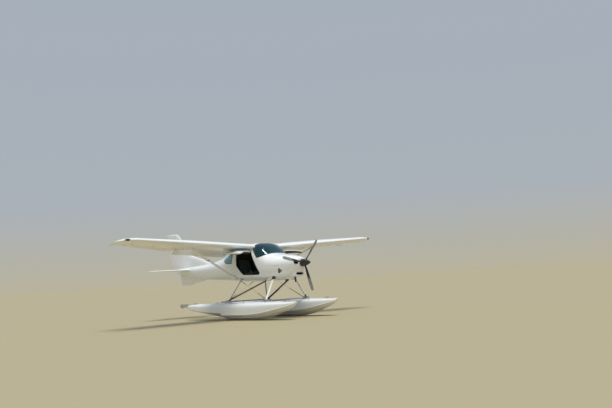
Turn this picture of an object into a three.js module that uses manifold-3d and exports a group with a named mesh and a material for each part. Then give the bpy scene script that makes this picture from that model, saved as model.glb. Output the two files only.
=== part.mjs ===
// Two-seat high-wing floatplane: moulded composite fuselage, strut-braced wing, twin floats.
// Millimetres. +X is the pilot's left, -Y is the nose, +Z is up.
// The origin is on the ground between the float keels, at the middle of the overall length.
import * as THREE from "three";
import { mergeVertices } from "three/addons/utils/BufferGeometryUtils.js";
import Module from "manifold-3d";

const wasm = await Module();
wasm.setup();

// Driving dimensions
const HALF_LENGTH = 3360; // from the origin to the float bows, and to the rudder's top corner
const HALF_SPAN = 4650;
const ROOT_X = 450; // the wing panels butt against the cabin's roof here
const WING_LE_Y = -1490;
const WING_Z = 1965; // height of the leading edge, run inboard to the centreline
const DIHEDRAL = 0.057; // rise of the wing for each unit of span
const INCIDENCE = 5; // degrees, wing chord against the float decks
const PROP_Z = 1465;
const PROP_Y = -2944;
const PROP_RADIUS = 800;
const FLOAT_X = 780; // float centre to the centreline
const DECK_Z = 478;
const STEP_Y = -640; // the step in the float's bottom
const STERN_Y = 1220;
const TAILPLANE_Z = 1490;
const HALF_TAILPLANE = 1380;

const CABIN_WALL = 30;
const COWL_WALL = 18;
const GLASS = 5;
const MOVING_ROOM = 6; // round a moving surface
const TOUCH_ROOM = 0.3; // between two pieces that bear on each other
const GLASS_SINK = 0.5; // how far the panes lie under the skin
const FLAP_REST = 23; // degrees down, as it is parked
const AILERON_REST = 7.5; // degrees down, as the ailerons droop a little with the flaps
const DOOR_OPEN = 88; // degrees up from shut

const FIREWALL_Y = -2060;
const TAIL_JOIN_Y = 150; // the cabin shell's back edge
const TAIL_END_Y = 2648;
const COWL_SPLIT_Z = 1425;

// Stations of the fuselage from the nose bowl to the rudder post
// y, bottom, top, half width, height of the widest place, lower and upper squareness
const FUSELAGE = [
  [-2850, 1350, 1580, 114, 1480, 2.1, 2.4],
  [-2838, 1312, 1600, 146, 1480, 2.0, 2.4],
  [-2815, 1276, 1616, 174, 1478, 2.0, 2.4],
  [-2760, 1215, 1636, 220, 1470, 2.0, 2.4],
  [-2660, 1150, 1660, 290, 1455, 2.2, 2.3],
  [-2500, 1090, 1690, 380, 1436, 2.3, 2.3],
  [-2300, 1054, 1718, 450, 1425, 2.5, 2.3],
  [-2060, 1032, 1748, 505, 1425, 2.6, 2.4],
  [-1960, 1028, 1772, 522, 1430, 2.6, 2.5],
  [-1820, 1024, 1868, 543, 1435, 2.7, 2.6],
  [-1660, 1022, 1988, 562, 1440, 2.7, 2.8],
  [-1500, 1022, 2072, 574, 1445, 2.7, 3.0],
  [-1300, 1022, 2100, 580, 1448, 2.7, 3.1],
  [-1000, 1024, 2100, 578, 1450, 2.7, 3.1],
  [-700, 1034, 2070, 560, 1450, 2.6, 3.0],
  [-400, 1056, 1988, 515, 1450, 2.5, 2.8],
  [-150, 1078, 1896, 462, 1448, 2.4, 2.5],
  [150, 1098, 1800, 396, 1446, 2.3, 2.3],
  [600, 1122, 1700, 312, 1444, 2.2, 2.2],
  [1000, 1146, 1644, 252, 1440, 2.2, 2.1],
  [1500, 1184, 1604, 194, 1436, 2.2, 2.1],
  [2000, 1246, 1580, 143, 1440, 2.2, 2.1],
  [2400, 1306, 1564, 100, 1450, 2.2, 2.1],
  [TAIL_END_Y, 1350, 1553, 62, 1456, 2.2, 2.1],
];
const RING_POINTS = 32;

// Rings of the radiator scoop under the nose: y, half width, bottom, top
const SCOOP = [
  [-2750, 142, 1138, 1228],
  [-2715, 166, 1122, 1244],
  [-2600, 188, 1096, 1262],
  [-2400, 188, 1076, 1200],
];
const SCOOP_WALL = 12;

// Rings of the wing: span place, leading edge y, chord, droop, thickness over chord, extra nose-up degrees
const WING = [
  [ROOT_X, WING_LE_Y, 1285, 0, 0.14, 0],
  [2450, WING_LE_Y, 1230, 0, 0.14, 0],
  [4180, -1452, 842, 0, 0.13, 0],
  [4420, -1418, 742, 10, 0.12, 2],
  [4540, -1368, 646, 27, 0.105, 3.5],
  [4610, -1290, 520, 44, 0.09, 4],
  [HALF_SPAN, -1170, 347, 56, 0.07, 4],
];
const FLAP = { from: 600, to: 2420, hinge: 0.75 };
const AILERON = { from: 2466, to: 4150, hinge: 0.76 };

// Stations of a float: y, half beam, deck, chine, keel
const FOREBODY = [
  [-3360, 14, 442, 428, 416],
  [-3300, 78, 452, 402, 366],
  [-3160, 158, 462, 360, 298],
  [-2960, 218, 470, 318, 228],
  [-2740, 258, 476, 276, 160],
  [-2480, 284, 481, 232, 86],
  [-2200, 297, 484, 196, 34],
  [-1900, 303, 484, 172, 6],
  [-1600, 305, 482, 160, 0],
  [STEP_Y, 305, 478, 150, 0],
];
const AFTERBODY = [
  [STEP_Y - 60, 290, 478, 196, 56],
  [STEP_Y, 302, 478, 198, 58],
  [-200, 296, 473, 222, 104],
  [300, 262, 466, 258, 164],
  [800, 196, 452, 300, 232],
  [1120, 118, 430, 334, 284],
  [STERN_Y, 56, 404, 352, 318],
];

// Side outlines, as y and z
const DOOR_OUTLINE = [
  [-1402, 1850],
  [-800, 1834],
  [-762, 1800],
  [-772, 1500],
  [-1040, 1222],
  [-1660, 1206],
  [-1716, 1236],
  [-1722, 1280],
];
const DOOR_WINDOW_OUTLINE = [
  [-1392, 1790],
  [-842, 1776],
  [-842, 1536],
  [-1012, 1420],
  [-1560, 1470],
];
const WINDSHIELD_OUTLINE = [
  [-1402, 2200],
  [-1402, 2036],
  [-1430, 1936],
  [-1639, 1671],
  [-1793, 1708],
  [-1874, 1751],
  [-1945, 1790],
  [-1945, 2200],
];
const REAR_WINDOW_OUTLINE = [
  [-572, 1572],
  [-572, 1822],
  [-330, 1828],
  [-160, 1778],
  [-36, 1690],
  [-110, 1624],
  [-254, 1578],
  [-420, 1566],
];

// Places where the float gear meets the body and the decks, on the left-hand side
const FRONT_PAD = [380, -2120, 1130];
const DIAGONAL_PAD = [372, -2056, 1120];
const REAR_PAD = [430, -850, 1120];
const FRONT_FOOT = [760, -2185, DECK_Z + 22];
const REAR_FOOT = [762, -570, DECK_Z + 22];
const STRUT_LOW = [455, -575, 1165];
const STRUT_HIGH = [2400, -1040, 2029];

// Finishes
const finish = (color, roughness, metalness = 0) =>
  new THREE.MeshStandardMaterial({ color, roughness, metalness });
const WHITE = finish(0xf2f3f2, 0.3);
const TINTED = finish(0x1c3f4c, 0.1);
const BLACK = finish(0x1a1a1a, 0.45);
const BRONZE = finish(0x3a3430, 0.35, 0.6);
const ALLOY = finish(0xb9bcbe, 0.4, 0.8);
const STEEL = finish(0x55504c, 0.5, 0.8);
const TRIM = finish(0x2b2c30, 0.8);
const LENS = finish(0xe8eef0, 0.1);

const floatplane = new THREE.Group();
const leftSide = new THREE.Group();
const rightSide = new THREE.Group();
rightSide.scale.x = -1;
floatplane.add(leftSide, rightSide);

const vec = (p) => new THREE.Vector3(...p);
const radians = THREE.MathUtils.degToRad;

// Solids

function solid(geometry) {
  const bare = geometry.index ? geometry.toNonIndexed() : geometry.clone();
  for (const name of Object.keys(bare.attributes)) {
    if (name !== "position") bare.deleteAttribute(name);
  }
  const merged = mergeVertices(bare, 1e-3);
  const make = (triVerts) =>
    new wasm.Manifold(
      new wasm.Mesh({
        numProp: 3,
        vertProperties: merged.attributes.position.array,
        triVerts,
      }),
    );
  const faces = new Uint32Array(merged.index.array);
  const made = make(faces);
  if (made.volume() > 0) return made;
  for (let i = 0; i < faces.length; i += 3) {
    [faces[i + 1], faces[i + 2]] = [faces[i + 2], faces[i + 1]];
  }
  return make(faces);
}

function geometryOf(piece) {
  const mesh = piece.getMesh();
  const geometry = new THREE.BufferGeometry();
  geometry.setAttribute(
    "position",
    new THREE.Float32BufferAttribute(mesh.vertProperties, 3),
  );
  geometry.setIndex(new THREE.Uint32BufferAttribute(mesh.triVerts, 1));
  return geometry;
}

// A closed body through rings of the same number of points.
function loft(rings) {
  const count = rings[0].length;
  const positions = rings.flat().flatMap((p) => [p.x, p.y, p.z]);
  const index = [];
  for (let r = 0; r + 1 < rings.length; r++) {
    for (let i = 0; i < count; i++) {
      const a = r * count + i;
      const b = r * count + ((i + 1) % count);
      index.push(a, b, b + count, a, b + count, a + count);
    }
  }
  for (const r of [0, rings.length - 1]) {
    const middle = new THREE.Vector3();
    rings[r].forEach((p) => middle.addScaledVector(p, 1 / count));
    const centre = positions.length / 3;
    positions.push(middle.x, middle.y, middle.z);
    for (let i = 0; i < count; i++) {
      const a = r * count + i;
      const b = r * count + ((i + 1) % count);
      index.push(...(r === 0 ? [centre, b, a] : [centre, a, b]));
    }
  }
  const geometry = new THREE.BufferGeometry();
  geometry.setAttribute(
    "position",
    new THREE.Float32BufferAttribute(positions, 3),
  );
  geometry.setIndex(index);
  return solid(geometry);
}

function box([x0, y0, z0], [x1, y1, z1]) {
  const geometry = new THREE.BoxGeometry(x1 - x0, y1 - y0, z1 - z0);
  geometry.translate((x0 + x1) / 2, (y0 + y1) / 2, (z0 + z1) / 2);
  return solid(geometry);
}

// An outline of y and z points, run across the body from x0 to x1.
function sidePrism(outline, x0, x1) {
  const shape = new THREE.Shape(outline.map((p) => new THREE.Vector2(...p)));
  const geometry = new THREE.ExtrudeGeometry(shape, {
    depth: x1 - x0,
    bevelEnabled: false,
  });
  geometry.applyMatrix4(
    new THREE.Matrix4().makeBasis(vec([0, 1, 0]), vec([0, 0, 1]), vec([1, 0, 0])),
  );
  geometry.translate(x0, 0, 0);
  return solid(geometry);
}

// An outline of x and y points, run up from z0 to z1.
function planPrism(outline, z0, z1) {
  const shape = new THREE.Shape(outline.map((p) => new THREE.Vector2(...p)));
  const geometry = new THREE.ExtrudeGeometry(shape, {
    depth: z1 - z0,
    bevelEnabled: false,
  });
  geometry.translate(0, 0, z0);
  return solid(geometry);
}

// A round bar from a to b, with its own radius at each end.
function bar(a, b, radiusA, radiusB = radiusA, sides = 16) {
  const from = vec(a);
  const along = vec(b).sub(from);
  const geometry = new THREE.CylinderGeometry(
    radiusB,
    radiusA,
    along.length(),
    sides,
  );
  geometry.applyQuaternion(
    new THREE.Quaternion().setFromUnitVectors(
      vec([0, 1, 0]),
      along.clone().normalize(),
    ),
  );
  geometry.translate(...from.addScaledVector(along, 0.5).toArray());
  return solid(geometry);
}

// A streamlined strut from a to b: an oval with its long way along the airflow.
function strut(a, b, chord, thickness, sides = 14) {
  const from = vec(a);
  const to = vec(b);
  const along = to.clone().sub(from).normalize();
  const wide = vec([0, 1, 0]);
  wide.addScaledVector(along, -wide.dot(along)).normalize();
  const thin = along.clone().cross(wide);
  const ring = (centre) =>
    Array.from({ length: sides }, (_, i) => {
      const turn = (i / sides) * 2 * Math.PI;
      return centre
        .clone()
        .addScaledVector(wide, (Math.cos(turn) * chord) / 2)
        .addScaledVector(thin, (Math.sin(turn) * thickness) / 2);
    });
  return loft([ring(from), ring(to)]);
}

const moved = (piece, by) => piece.translate(by);
const joined = (...pieces) => pieces.reduce((a, b) => a.add(b));
// Takes the body away from a piece, and the bearing gap with it, on the side that the piece comes from.
const seatedOn = (piece, body, away) =>
  piece
    .subtract(body)
    .subtract(moved(body, away.map((n) => n * TOUCH_ROOM * 1.4)));

function place(group, name, piece, material) {
  const mesh = new THREE.Mesh(geometryOf(piece), material);
  mesh.name = name;
  group.add(mesh);
}

// Adds a piece and its mirror image.
function placePair(name, piece, material) {
  place(leftSide, name + "_left", piece, material);
  place(rightSide, name + "_right", piece, material);
}

// A piece and its mirror image, joined where they meet in the middle.
const bothSides = (piece) => piece.add(piece.mirror([1, 0, 0]));

// Adds a pair that is turned about a hinge line at rest.
function placeTurnedPair(name, piece, material, hinge, degrees) {
  for (const [side, group] of [
    ["_left", leftSide],
    ["_right", rightSide],
  ]) {
    const pivot = new THREE.Group();
    pivot.position.set(...hinge.at);
    pivot.quaternion.setFromAxisAngle(
      vec(hinge.along).normalize(),
      radians(degrees),
    );
    const mesh = new THREE.Mesh(
      geometryOf(moved(piece, hinge.at.map((n) => -n))),
      material,
    );
    mesh.name = name + side;
    pivot.add(mesh);
    group.add(pivot);
  }
}

// Smooth value of one column of a table at a place, with no overshoot between rows.
function smooth(table, column, at) {
  const last = table.length - 1;
  let i = 0;
  while (i < last - 1 && at > table[i + 1][0]) i++;
  const slope = (k) => (table[k + 1][column] - table[k][column]) / (table[k + 1][0] - table[k][0]);
  const tangent = (k) => {
    if (k === 0) return slope(0);
    if (k === last) return slope(last - 1);
    const [a, b] = [slope(k - 1), slope(k)];
    return a * b <= 0 ? 0 : (2 * a * b) / (a + b);
  };
  const [start, end] = [table[i], table[i + 1]];
  const width = end[0] - start[0];
  const t = (at - start[0]) / width;
  const [t2, t3] = [t * t, t * t * t];
  return (
    (2 * t3 - 3 * t2 + 1) * start[column] +
    (t3 - 2 * t2 + t) * width * tangent(i) +
    (-2 * t3 + 3 * t2) * end[column] +
    (t3 - t2) * width * tangent(i + 1)
  );
}

// Fuselage

// One cross-section of the fuselage, drawn in by an even margin.
function fuselageRing(y, margin = 0) {
  const [bottom, top, half, widest, lower, upper] = [1, 2, 3, 4, 5, 6].map((c) =>
    smooth(FUSELAGE, c, y),
  );
  return Array.from({ length: RING_POINTS }, (_, i) => {
    const turn = ((i + 0.5) / RING_POINTS) * 2 * Math.PI;
    const [c, s] = [Math.cos(turn), Math.sin(turn)];
    const squareness = s < 0 ? lower : upper;
    const reach = s < 0 ? widest - bottom - margin : top - margin - widest;
    return new THREE.Vector3(
      Math.sign(c) * Math.abs(c) ** (2 / squareness) * (half - margin),
      y,
      widest + Math.sign(s) * Math.abs(s) ** (2 / squareness) * reach,
    );
  });
}

function fuselageBody(from, to, margin = 0) {
  const stations = FUSELAGE.map((row) => row[0]).filter(
    (y) => y > from + 1 && y < to - 1,
  );
  const whole = loft([from, ...stations, to].map((y) => fuselageRing(y, margin)));
  return bothSides(whole.intersect(box([0, from - 1, 500], [900, to + 1, 2500])));
}

const OUTER = fuselageBody(FUSELAGE[0][0], TAIL_END_Y);
const glassSkin = (from, to) =>
  fuselageBody(from, to, GLASS_SINK).subtract(fuselageBody(from - 1, to + 1, GLASS));
// Cuts an opening on both sides.
const acrossBody = (outline) => sidePrism(outline, -900, 900);

// An outline drawn in by an even margin.
function drawnIn(outline, margin) {
  const points = outline.map((p) => new THREE.Vector2(...p));
  const turn = Math.sign(THREE.ShapeUtils.area(points));
  const inward = points.map((p, i) => {
    const edge = points[(i + 1) % points.length].clone().sub(p).normalize();
    return new THREE.Vector2(-edge.y, edge.x).multiplyScalar(turn);
  });
  return points.map((p, i) => {
    const [before, after] = [inward.at(i - 1), inward[i]];
    const reach = margin / (1 + before.dot(after));
    return p.clone().addScaledVector(before, reach).addScaledVector(after, reach).toArray();
  });
}

// The doors hang on barrels that lie in a groove along the roof's edge.
const DOOR_HINGE = { at: [536.6, -1100, 1860], along: [0, 1, 0] };
const DOOR_BARREL_RADIUS = 8;

function makeCabinShell() {
  const hollow = fuselageBody(FIREWALL_Y + CABIN_WALL, TAIL_JOIN_Y + 10, CABIN_WALL);
  const hingeChannel = [1, -1].map((side) =>
    bar(
      [side * DOOR_HINGE.at[0], -1410, DOOR_HINGE.at[2]],
      [side * DOOR_HINGE.at[0], -790, DOOR_HINGE.at[2]],
      DOOR_BARREL_RADIUS + TOUCH_ROOM,
    ),
  );
  return fuselageBody(FIREWALL_Y, TAIL_JOIN_Y)
    .subtract(hollow)
    .subtract(acrossBody(DOOR_OUTLINE))
    .subtract(acrossBody(WINDSHIELD_OUTLINE))
    .subtract(acrossBody(REAR_WINDOW_OUTLINE))
    .subtract(joined(...hingeChannel));
}
const cabinShell = makeCabinShell();

function makeCabin() {
  place(floatplane, "cabin_shell", cabinShell, WHITE);
  const windshield = glassSkin(FIREWALL_Y, -1300).intersect(
    acrossBody(drawnIn(WINDSHIELD_OUTLINE, TOUCH_ROOM)),
  );
  place(floatplane, "windshield", windshield, TINTED);
  const rearWindow = glassSkin(-700, TAIL_JOIN_Y)
    .intersect(acrossBody(drawnIn(REAR_WINDOW_OUTLINE, TOUCH_ROOM)))
    .intersect(box([100, -800, 1400], [900, 100, 2000]));
  placePair("rear_window", rearWindow, TINTED);
}

function makeDoors() {
  const [front, back] = [-1960, -400];
  const wall = fuselageBody(front, back).subtract(
    fuselageBody(front - 1, back + 1, CABIN_WALL),
  );
  const halfOnly = box([200, -2000, 1000], [900, -600, 2000]);
  const panel = wall
    .intersect(acrossBody(drawnIn(DOOR_OUTLINE, MOVING_ROOM)))
    .intersect(halfOnly);
  const window = acrossBody(DOOR_WINDOW_OUTLINE);
  // A strap from the barrel down to the door: how far it reaches inboard, and its lower and upper ends.
  const strap = (y, inboard, down, up) =>
    box(
      [DOOR_HINGE.at[0] - inboard, y - 26, DOOR_HINGE.at[2] - down],
      [DOOR_HINGE.at[0] + 6, y + 26, DOOR_HINGE.at[2] - up],
    );
  const barrels = [-1330, -900].map((y) =>
    bar(
      [DOOR_HINGE.at[0], y - 30, DOOR_HINGE.at[2]],
      [DOOR_HINGE.at[0], y + 30, DOOR_HINGE.at[2]],
      DOOR_BARREL_RADIUS,
    )
      .add(strap(y, 0, 20, 0))
      .add(strap(y, 16, 46, 16)),
  );
  const frame = joined(panel.subtract(window), ...barrels)
    .subtract(cabinShell)
    .subtract(moved(cabinShell, [TOUCH_ROOM, 0, -TOUCH_ROOM]));
  const glass = glassSkin(front, back)
    .intersect(acrossBody(drawnIn(DOOR_WINDOW_OUTLINE, TOUCH_ROOM)))
    .intersect(halfOnly);
  placeTurnedPair("door_frame", frame, WHITE, DOOR_HINGE, -DOOR_OPEN);
  placeTurnedPair("door_glass", glass, TINTED, DOOR_HINGE, -DOOR_OPEN);
}

// The tail cone is a moulded tube. Its closed end carries the rudder's lower hinge.
const RUDDER_FOOT = [2698, 1404];
const RUDDER_SHELF_DROP = 14;
function makeTailCone() {
  const hollow = fuselageBody(TAIL_JOIN_Y - 10, 2450, CABIN_WALL * 0.8);
  const shelf = box(
    [-24, TAIL_END_Y - 20, RUDDER_FOOT[1] - 34],
    [24, RUDDER_FOOT[0] + 34, RUDDER_FOOT[1] - RUDDER_SHELF_DROP],
  );
  const tubeHole = bar(
    [-300, ELEVATOR.hinge, TAILPLANE_Z],
    [300, ELEVATOR.hinge, TAILPLANE_Z],
    9 + TOUCH_ROOM,
  );
  const cone = fuselageBody(TAIL_JOIN_Y + TOUCH_ROOM, TAIL_END_Y)
    .subtract(hollow)
    .add(shelf)
    .subtract(tubeHole);
  place(floatplane, "tail_cone", cone, WHITE);
}

// The nose leg is off; its stub still comes down through the lower cowl.
const LEG_STUB = { y: -2570, bottom: 960, radius: 22 };
const ENGINE_FRONT_Y = -2600;
// Cowling: two half shells round the engine, open at the inlets and under the tail edge.
const INLET = { x: 172, z: 1487, width: 96, height: 104, depth: 210 };
const SHAFT_HOLE_RADIUS = 60;
const OUTLET = { half: 150, from: -2260, to: FIREWALL_Y - 40, top: 1120 };

// The scoop's body, drawn in by an even margin and run on past its mouth.
function scoopBody(margin, ahead = 0) {
  const corners = 20;
  const ring = ([y, half, bottom, top]) =>
    Array.from({ length: corners }, (_, i) => {
      const turn = ((i + 0.5) / corners) * 2 * Math.PI;
      const [c, s] = [Math.cos(turn), Math.sin(turn)];
      return new THREE.Vector3(
        Math.sign(c) * Math.abs(c) ** 0.5 * (half - margin),
        y,
        (bottom + top) / 2 + Math.sign(s) * Math.abs(s) ** 0.5 * ((top - bottom) / 2 - margin),
      );
    });
  const mouth = SCOOP[0];
  const rows = ahead > 0 ? [[mouth[0] - ahead, ...mouth.slice(1)], ...SCOOP] : SCOOP;
  return loft(rows.map(ring));
}

function makeCowling() {
  const front = FUSELAGE[0][0];
  const inlet = (side) => {
    const geometry = new THREE.CylinderGeometry(0.5, 0.5, INLET.depth, 28);
    geometry.scale(INLET.width, 1, INLET.height);
    geometry.translate(side * INLET.x, front + INLET.depth / 2 - 20, INLET.z);
    return solid(geometry);
  };
  const outer = fuselageBody(front, FIREWALL_Y - TOUCH_ROOM).add(scoopBody(0));
  const hollow = fuselageBody(front + COWL_WALL, FIREWALL_Y + 5, COWL_WALL);
  const openings = joined(
    inlet(1),
    inlet(-1),
    bar([0, front - 20, PROP_Z], [0, front + 60, PROP_Z], SHAFT_HOLE_RADIUS),
    box([-OUTLET.half, OUTLET.from, 1000], [OUTLET.half, OUTLET.to, OUTLET.top]),
    bar([0, LEG_STUB.y, 950], [0, LEG_STUB.y, 1200], LEG_STUB.radius + MOVING_ROOM),
  );
  const shell = outer
    .subtract(hollow)
    .subtract(scoopBody(SCOOP_WALL, 30))
    .subtract(openings);
  const above = box([-700, -3000, COWL_SPLIT_Z + TOUCH_ROOM / 2], [700, -2000, 1900]);
  const below = box([-700, -3000, 900], [700, -2000, COWL_SPLIT_Z - TOUCH_ROOM / 2]);
  place(floatplane, "cowl_upper", shell.intersect(above), WHITE);
  place(floatplane, "cowl_lower", shell.intersect(below), WHITE);

  const block = box([-170, ENGINE_FRONT_Y, 1250], [170, FIREWALL_Y - TOUCH_ROOM, 1560]);
  const legStub = bar([0, LEG_STUB.y, LEG_STUB.bottom], [0, LEG_STUB.y, 1255], LEG_STUB.radius);
  place(floatplane, "engine_block", joined(block, legStub), STEEL);
}

// Wing

function wingAt(x) {
  let i = 0;
  while (i < WING.length - 2 && x > WING[i + 1][0]) i++;
  const [a, b] = [WING[i], WING[i + 1]];
  const t = (x - a[0]) / (b[0] - a[0]);
  const [, front, chord, droop, ratio, twist] = a.map((v, k) => v + (b[k] - v) * t);
  return { front, chord, ratio, degrees: INCIDENCE + twist, z: WING_Z + DIHEDRAL * x - droop };
}

// Half thickness of the section, and the height of its middle line, at a share of the chord.
const halfThickness = (s, ratio) =>
  5 * ratio * (0.2969 * Math.sqrt(s) - 0.126 * s - 0.3516 * s ** 2 + 0.2843 * s ** 3 - 0.1 * s ** 4);
const camberLine = (s, camber) =>
  s < 0.4
    ? (camber / 0.16) * (0.8 * s - s * s)
    : (camber / 0.36) * (0.2 + 0.8 * s - s * s);

// An aerofoil ring, turned nose-up, in the plane of a rib.
function rib(pointAt, front, chord, ratio, { camber = 0, degrees = 0, points = 11 } = {}) {
  const shares = Array.from(
    { length: points + 1 },
    (_, i) => (1 - Math.cos((i / points) * Math.PI)) / 2,
  );
  const spot = (s, side) => {
    const along = s * chord;
    const up =
      (camberLine(s, camber) + side * (halfThickness(s, ratio) + 0.0015)) * chord;
    const [c, n] = [Math.cos(radians(degrees)), Math.sin(radians(degrees))];
    return pointAt(front + along * c + up * n, up * c - along * n);
  };
  return [
    ...shares.map((s) => spot(s, 1)),
    ...shares.toReversed().map((s) => spot(s, -1)),
  ];
}

const WING_CAMBER = 0.028;
function wingRing(x) {
  const { front, chord, ratio, degrees, z } = wingAt(x);
  return rib((y, up) => new THREE.Vector3(x, y, z + up), front, chord, ratio, {
    camber: WING_CAMBER,
    degrees,
  });
}

// The middle of the wing at a share of its chord, with its half thickness there.
function wingSpot(x, share) {
  const { front, chord, ratio, z } = wingAt(x);
  const turn = radians(INCIDENCE);
  return {
    at: [
      x,
      front + share * chord * Math.cos(turn),
      z + camberLine(share, WING_CAMBER) * chord - share * chord * Math.sin(turn),
    ],
    radius: (halfThickness(share, ratio) + 0.0015) * chord * 0.96,
  };
}

// A hinged surface cut from the back of a wing or tail: its solid, what the wing loses, and its hinge line.
function hinged(body, inner, outer, [x0, x1], heights) {
  const back = (grow) =>
    planPrism(
      [
        [x0 - grow, inner.at[1]],
        [x1 + grow, outer.at[1]],
        [x1 + grow, outer.at[1] + 900],
        [x0 - grow, inner.at[1] + 900],
      ],
      ...heights,
    );
  const slab = (grow) => box([x0 - grow, -3000, heights[0]], [x1 + grow, 4000, heights[1]]);
  const along = vec(outer.at).sub(vec(inner.at)).normalize();
  const past = (spot, by) => vec(spot.at).addScaledVector(along, by).toArray();
  const nose = (grow) =>
    bar(past(inner, -20), past(outer, 20), inner.radius + grow, outer.radius + grow, 24)
      .intersect(slab(grow));
  const pins = [
    bar(past(inner, 10), past(inner, -MOVING_ROOM - 5), 5),
    bar(past(outer, -10), past(outer, MOVING_ROOM + 5), 5),
  ].map((pin) => pin.intersect(slab(MOVING_ROOM - 2 * TOUCH_ROOM)));
  return {
    surface: joined(body.intersect(back(0)), nose(0), ...pins),
    cove: back(MOVING_ROOM).add(nose(MOVING_ROOM)),
    hinge: { at: inner.at, along: along.toArray() },
  };
}

const WING_HEIGHTS = [1500, 2700];
const wholeWing = loft(
  [WING[0][0], 1450, ...WING.slice(1).map((row) => row[0])].map(wingRing),
);
const flap = hinged(
  wholeWing,
  wingSpot(FLAP.from, FLAP.hinge),
  wingSpot(FLAP.to, FLAP.hinge),
  [FLAP.from, FLAP.to],
  WING_HEIGHTS,
);
const aileron = hinged(
  wholeWing,
  wingSpot(AILERON.from, AILERON.hinge),
  wingSpot(AILERON.to, AILERON.hinge),
  [AILERON.from, AILERON.to],
  WING_HEIGHTS,
);
// The hollow in the wing tip's front corner that the light fills.
const TIP_LIGHT = { x: 4405, front: -1490, back: -1350, slant: 95, drop: 4 };
function tipLightSpace(margin) {
  const { x, front, back, slant, drop } = TIP_LIGHT;
  const z = wingAt(x).z - drop;
  return bar([x, front, z], [x + slant, back - margin, z], 46 - margin, 60 - margin, 18);
}

function makeWings() {
  // The panel stops at the cabin's side, which slopes in towards the roof.
  const panel = seatedOn(wholeWing, OUTER, [1, 0, 0])
    .subtract(flap.cove)
    .subtract(aileron.cove)
    .subtract(tipLightSpace(0));
  placePair("wing", panel, WHITE);
  placeTurnedPair("flap", flap.surface, WHITE, flap.hinge, -FLAP_REST);
  placeTurnedPair("aileron", aileron.surface, WHITE, aileron.hinge, -AILERON_REST);
  const lens = wholeWing.intersect(tipLightSpace(TOUCH_ROOM * 1.4));
  placePair("wing_tip_light", lens, LENS);

  const stay = strut(STRUT_LOW, STRUT_HIGH, 112, 42);
  const lowEnd = box([380, -640, 1110], [520, -510, 1180]);
  const strutPiece = seatedOn(
    seatedOn(joined(stay, lowEnd), OUTER, [0.8, 0, -0.6]),
    wholeWing,
    [0, 0, -1],
  );
  placePair("wing_strut", strutPiece, WHITE);
}

// Tail

// Levels of the fin and rudder: height, front, back, thickness
const FIN = [
  [1500, 1010, 2945, 84],
  [1640, 1040, 3052, 88],
  [1700, 1235, 3078, 88],
  [1800, 1500, 3108, 86],
  [1880, 1820, 3130, 74],
  [1950, 2062, 3150, 68],
  [2250, 2335, 3235, 66],
  [2520, 2580, 3318, 54],
  [2600, 2668, 3344, 48],
  [2640, 2752, HALF_LENGTH - 6, 36],
  [2652, 2830, HALF_LENGTH, 18],
];
const RUDDER_TOP = [3062, 2480];
const HORN = { front: 2845, bottom: 2486 };
const RUDDER_NOSE_RADIUS = 19;
const RUDDER_PIN_RADIUS = 8;
const RUDDER_ROOM = 8; // between the fin and the rudder's thick nose

function finRing([z, front, back, thickness]) {
  return rib(
    (y, side) => new THREE.Vector3(side, y, z),
    front,
    back - front,
    thickness / (back - front),
  );
}

function makeFin() {
  const lowest = [RUDDER_FOOT[1], 980, 2902, 84];
  const whole = loft([lowest, ...FIN].map(finRing));
  const [foot, top] = [RUDDER_FOOT, RUDDER_TOP];
  const hingeY = (z) => foot[0] + ((z - foot[1]) * (top[0] - foot[0])) / (top[1] - foot[1]);
  // The horn swings sideways over the fin, and dips as it does, so it has more room under it.
  const behind = (gap) =>
    sidePrism(
      [
        [hingeY(1300), 1300 - gap],
        [3600, 1300 - gap],
        [3600, 2800],
        [HORN.front - gap, 2800],
        [HORN.front - gap, HORN.bottom - 2 * gap],
        [hingeY(HORN.bottom - 2 * gap), HORN.bottom - 2 * gap],
      ],
      -200,
      200,
    );
  const nose = (grow) =>
    bar(
      [0, hingeY(1380), 1380],
      [0, hingeY(2500), 2500],
      RUDDER_NOSE_RADIUS + grow,
      RUDDER_NOSE_RADIUS + grow,
      20,
    );
  const aboveFoot = box([-200, 2000, RUDDER_FOOT[1]], [200, 3600, 2800]);
  // The pin under the rudder ends in a ball that stands on the tail cone's shelf.
  const ballZ = foot[1] - RUDDER_SHELF_DROP + TOUCH_ROOM + RUDDER_PIN_RADIUS;
  const ball = new THREE.SphereGeometry(RUDDER_PIN_RADIUS, 20, 14);
  ball.rotateX(Math.PI / 2);
  ball.translate(0, hingeY(ballZ), ballZ);
  const hingePin = bar(
    [0, hingeY(foot[1] + 20), foot[1] + 20],
    [0, hingeY(ballZ), ballZ],
    RUDDER_PIN_RADIUS * 0.9,
  ).add(solid(ball));
  const rudder = joined(whole.intersect(behind(0)), nose(0))
    .intersect(aboveFoot)
    .add(hingePin);
  place(floatplane, "rudder", rudder, WHITE);

  const fin = seatedOn(
    whole.subtract(behind(RUDDER_ROOM)).subtract(nose(RUDDER_ROOM)),
    OUTER,
    [0, 0, 1],
  ).intersect(box([-300, 900, 1500], [300, 3300, 2800]));
  place(floatplane, "fin", fin, WHITE);

  const ventral = loft(
    [
      [1020, 2070, 2560, 30],
      [1062, 1980, 2575, 44],
      [1150, 1300, 2600, 60],
      [1290, 1060, 2620, 66],
      [1400, 1060, 2630, 66],
    ].map(finRing),
  );
  place(floatplane, "ventral_fin", seatedOn(ventral, OUTER, [0, 0, -1]), WHITE);
}

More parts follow.
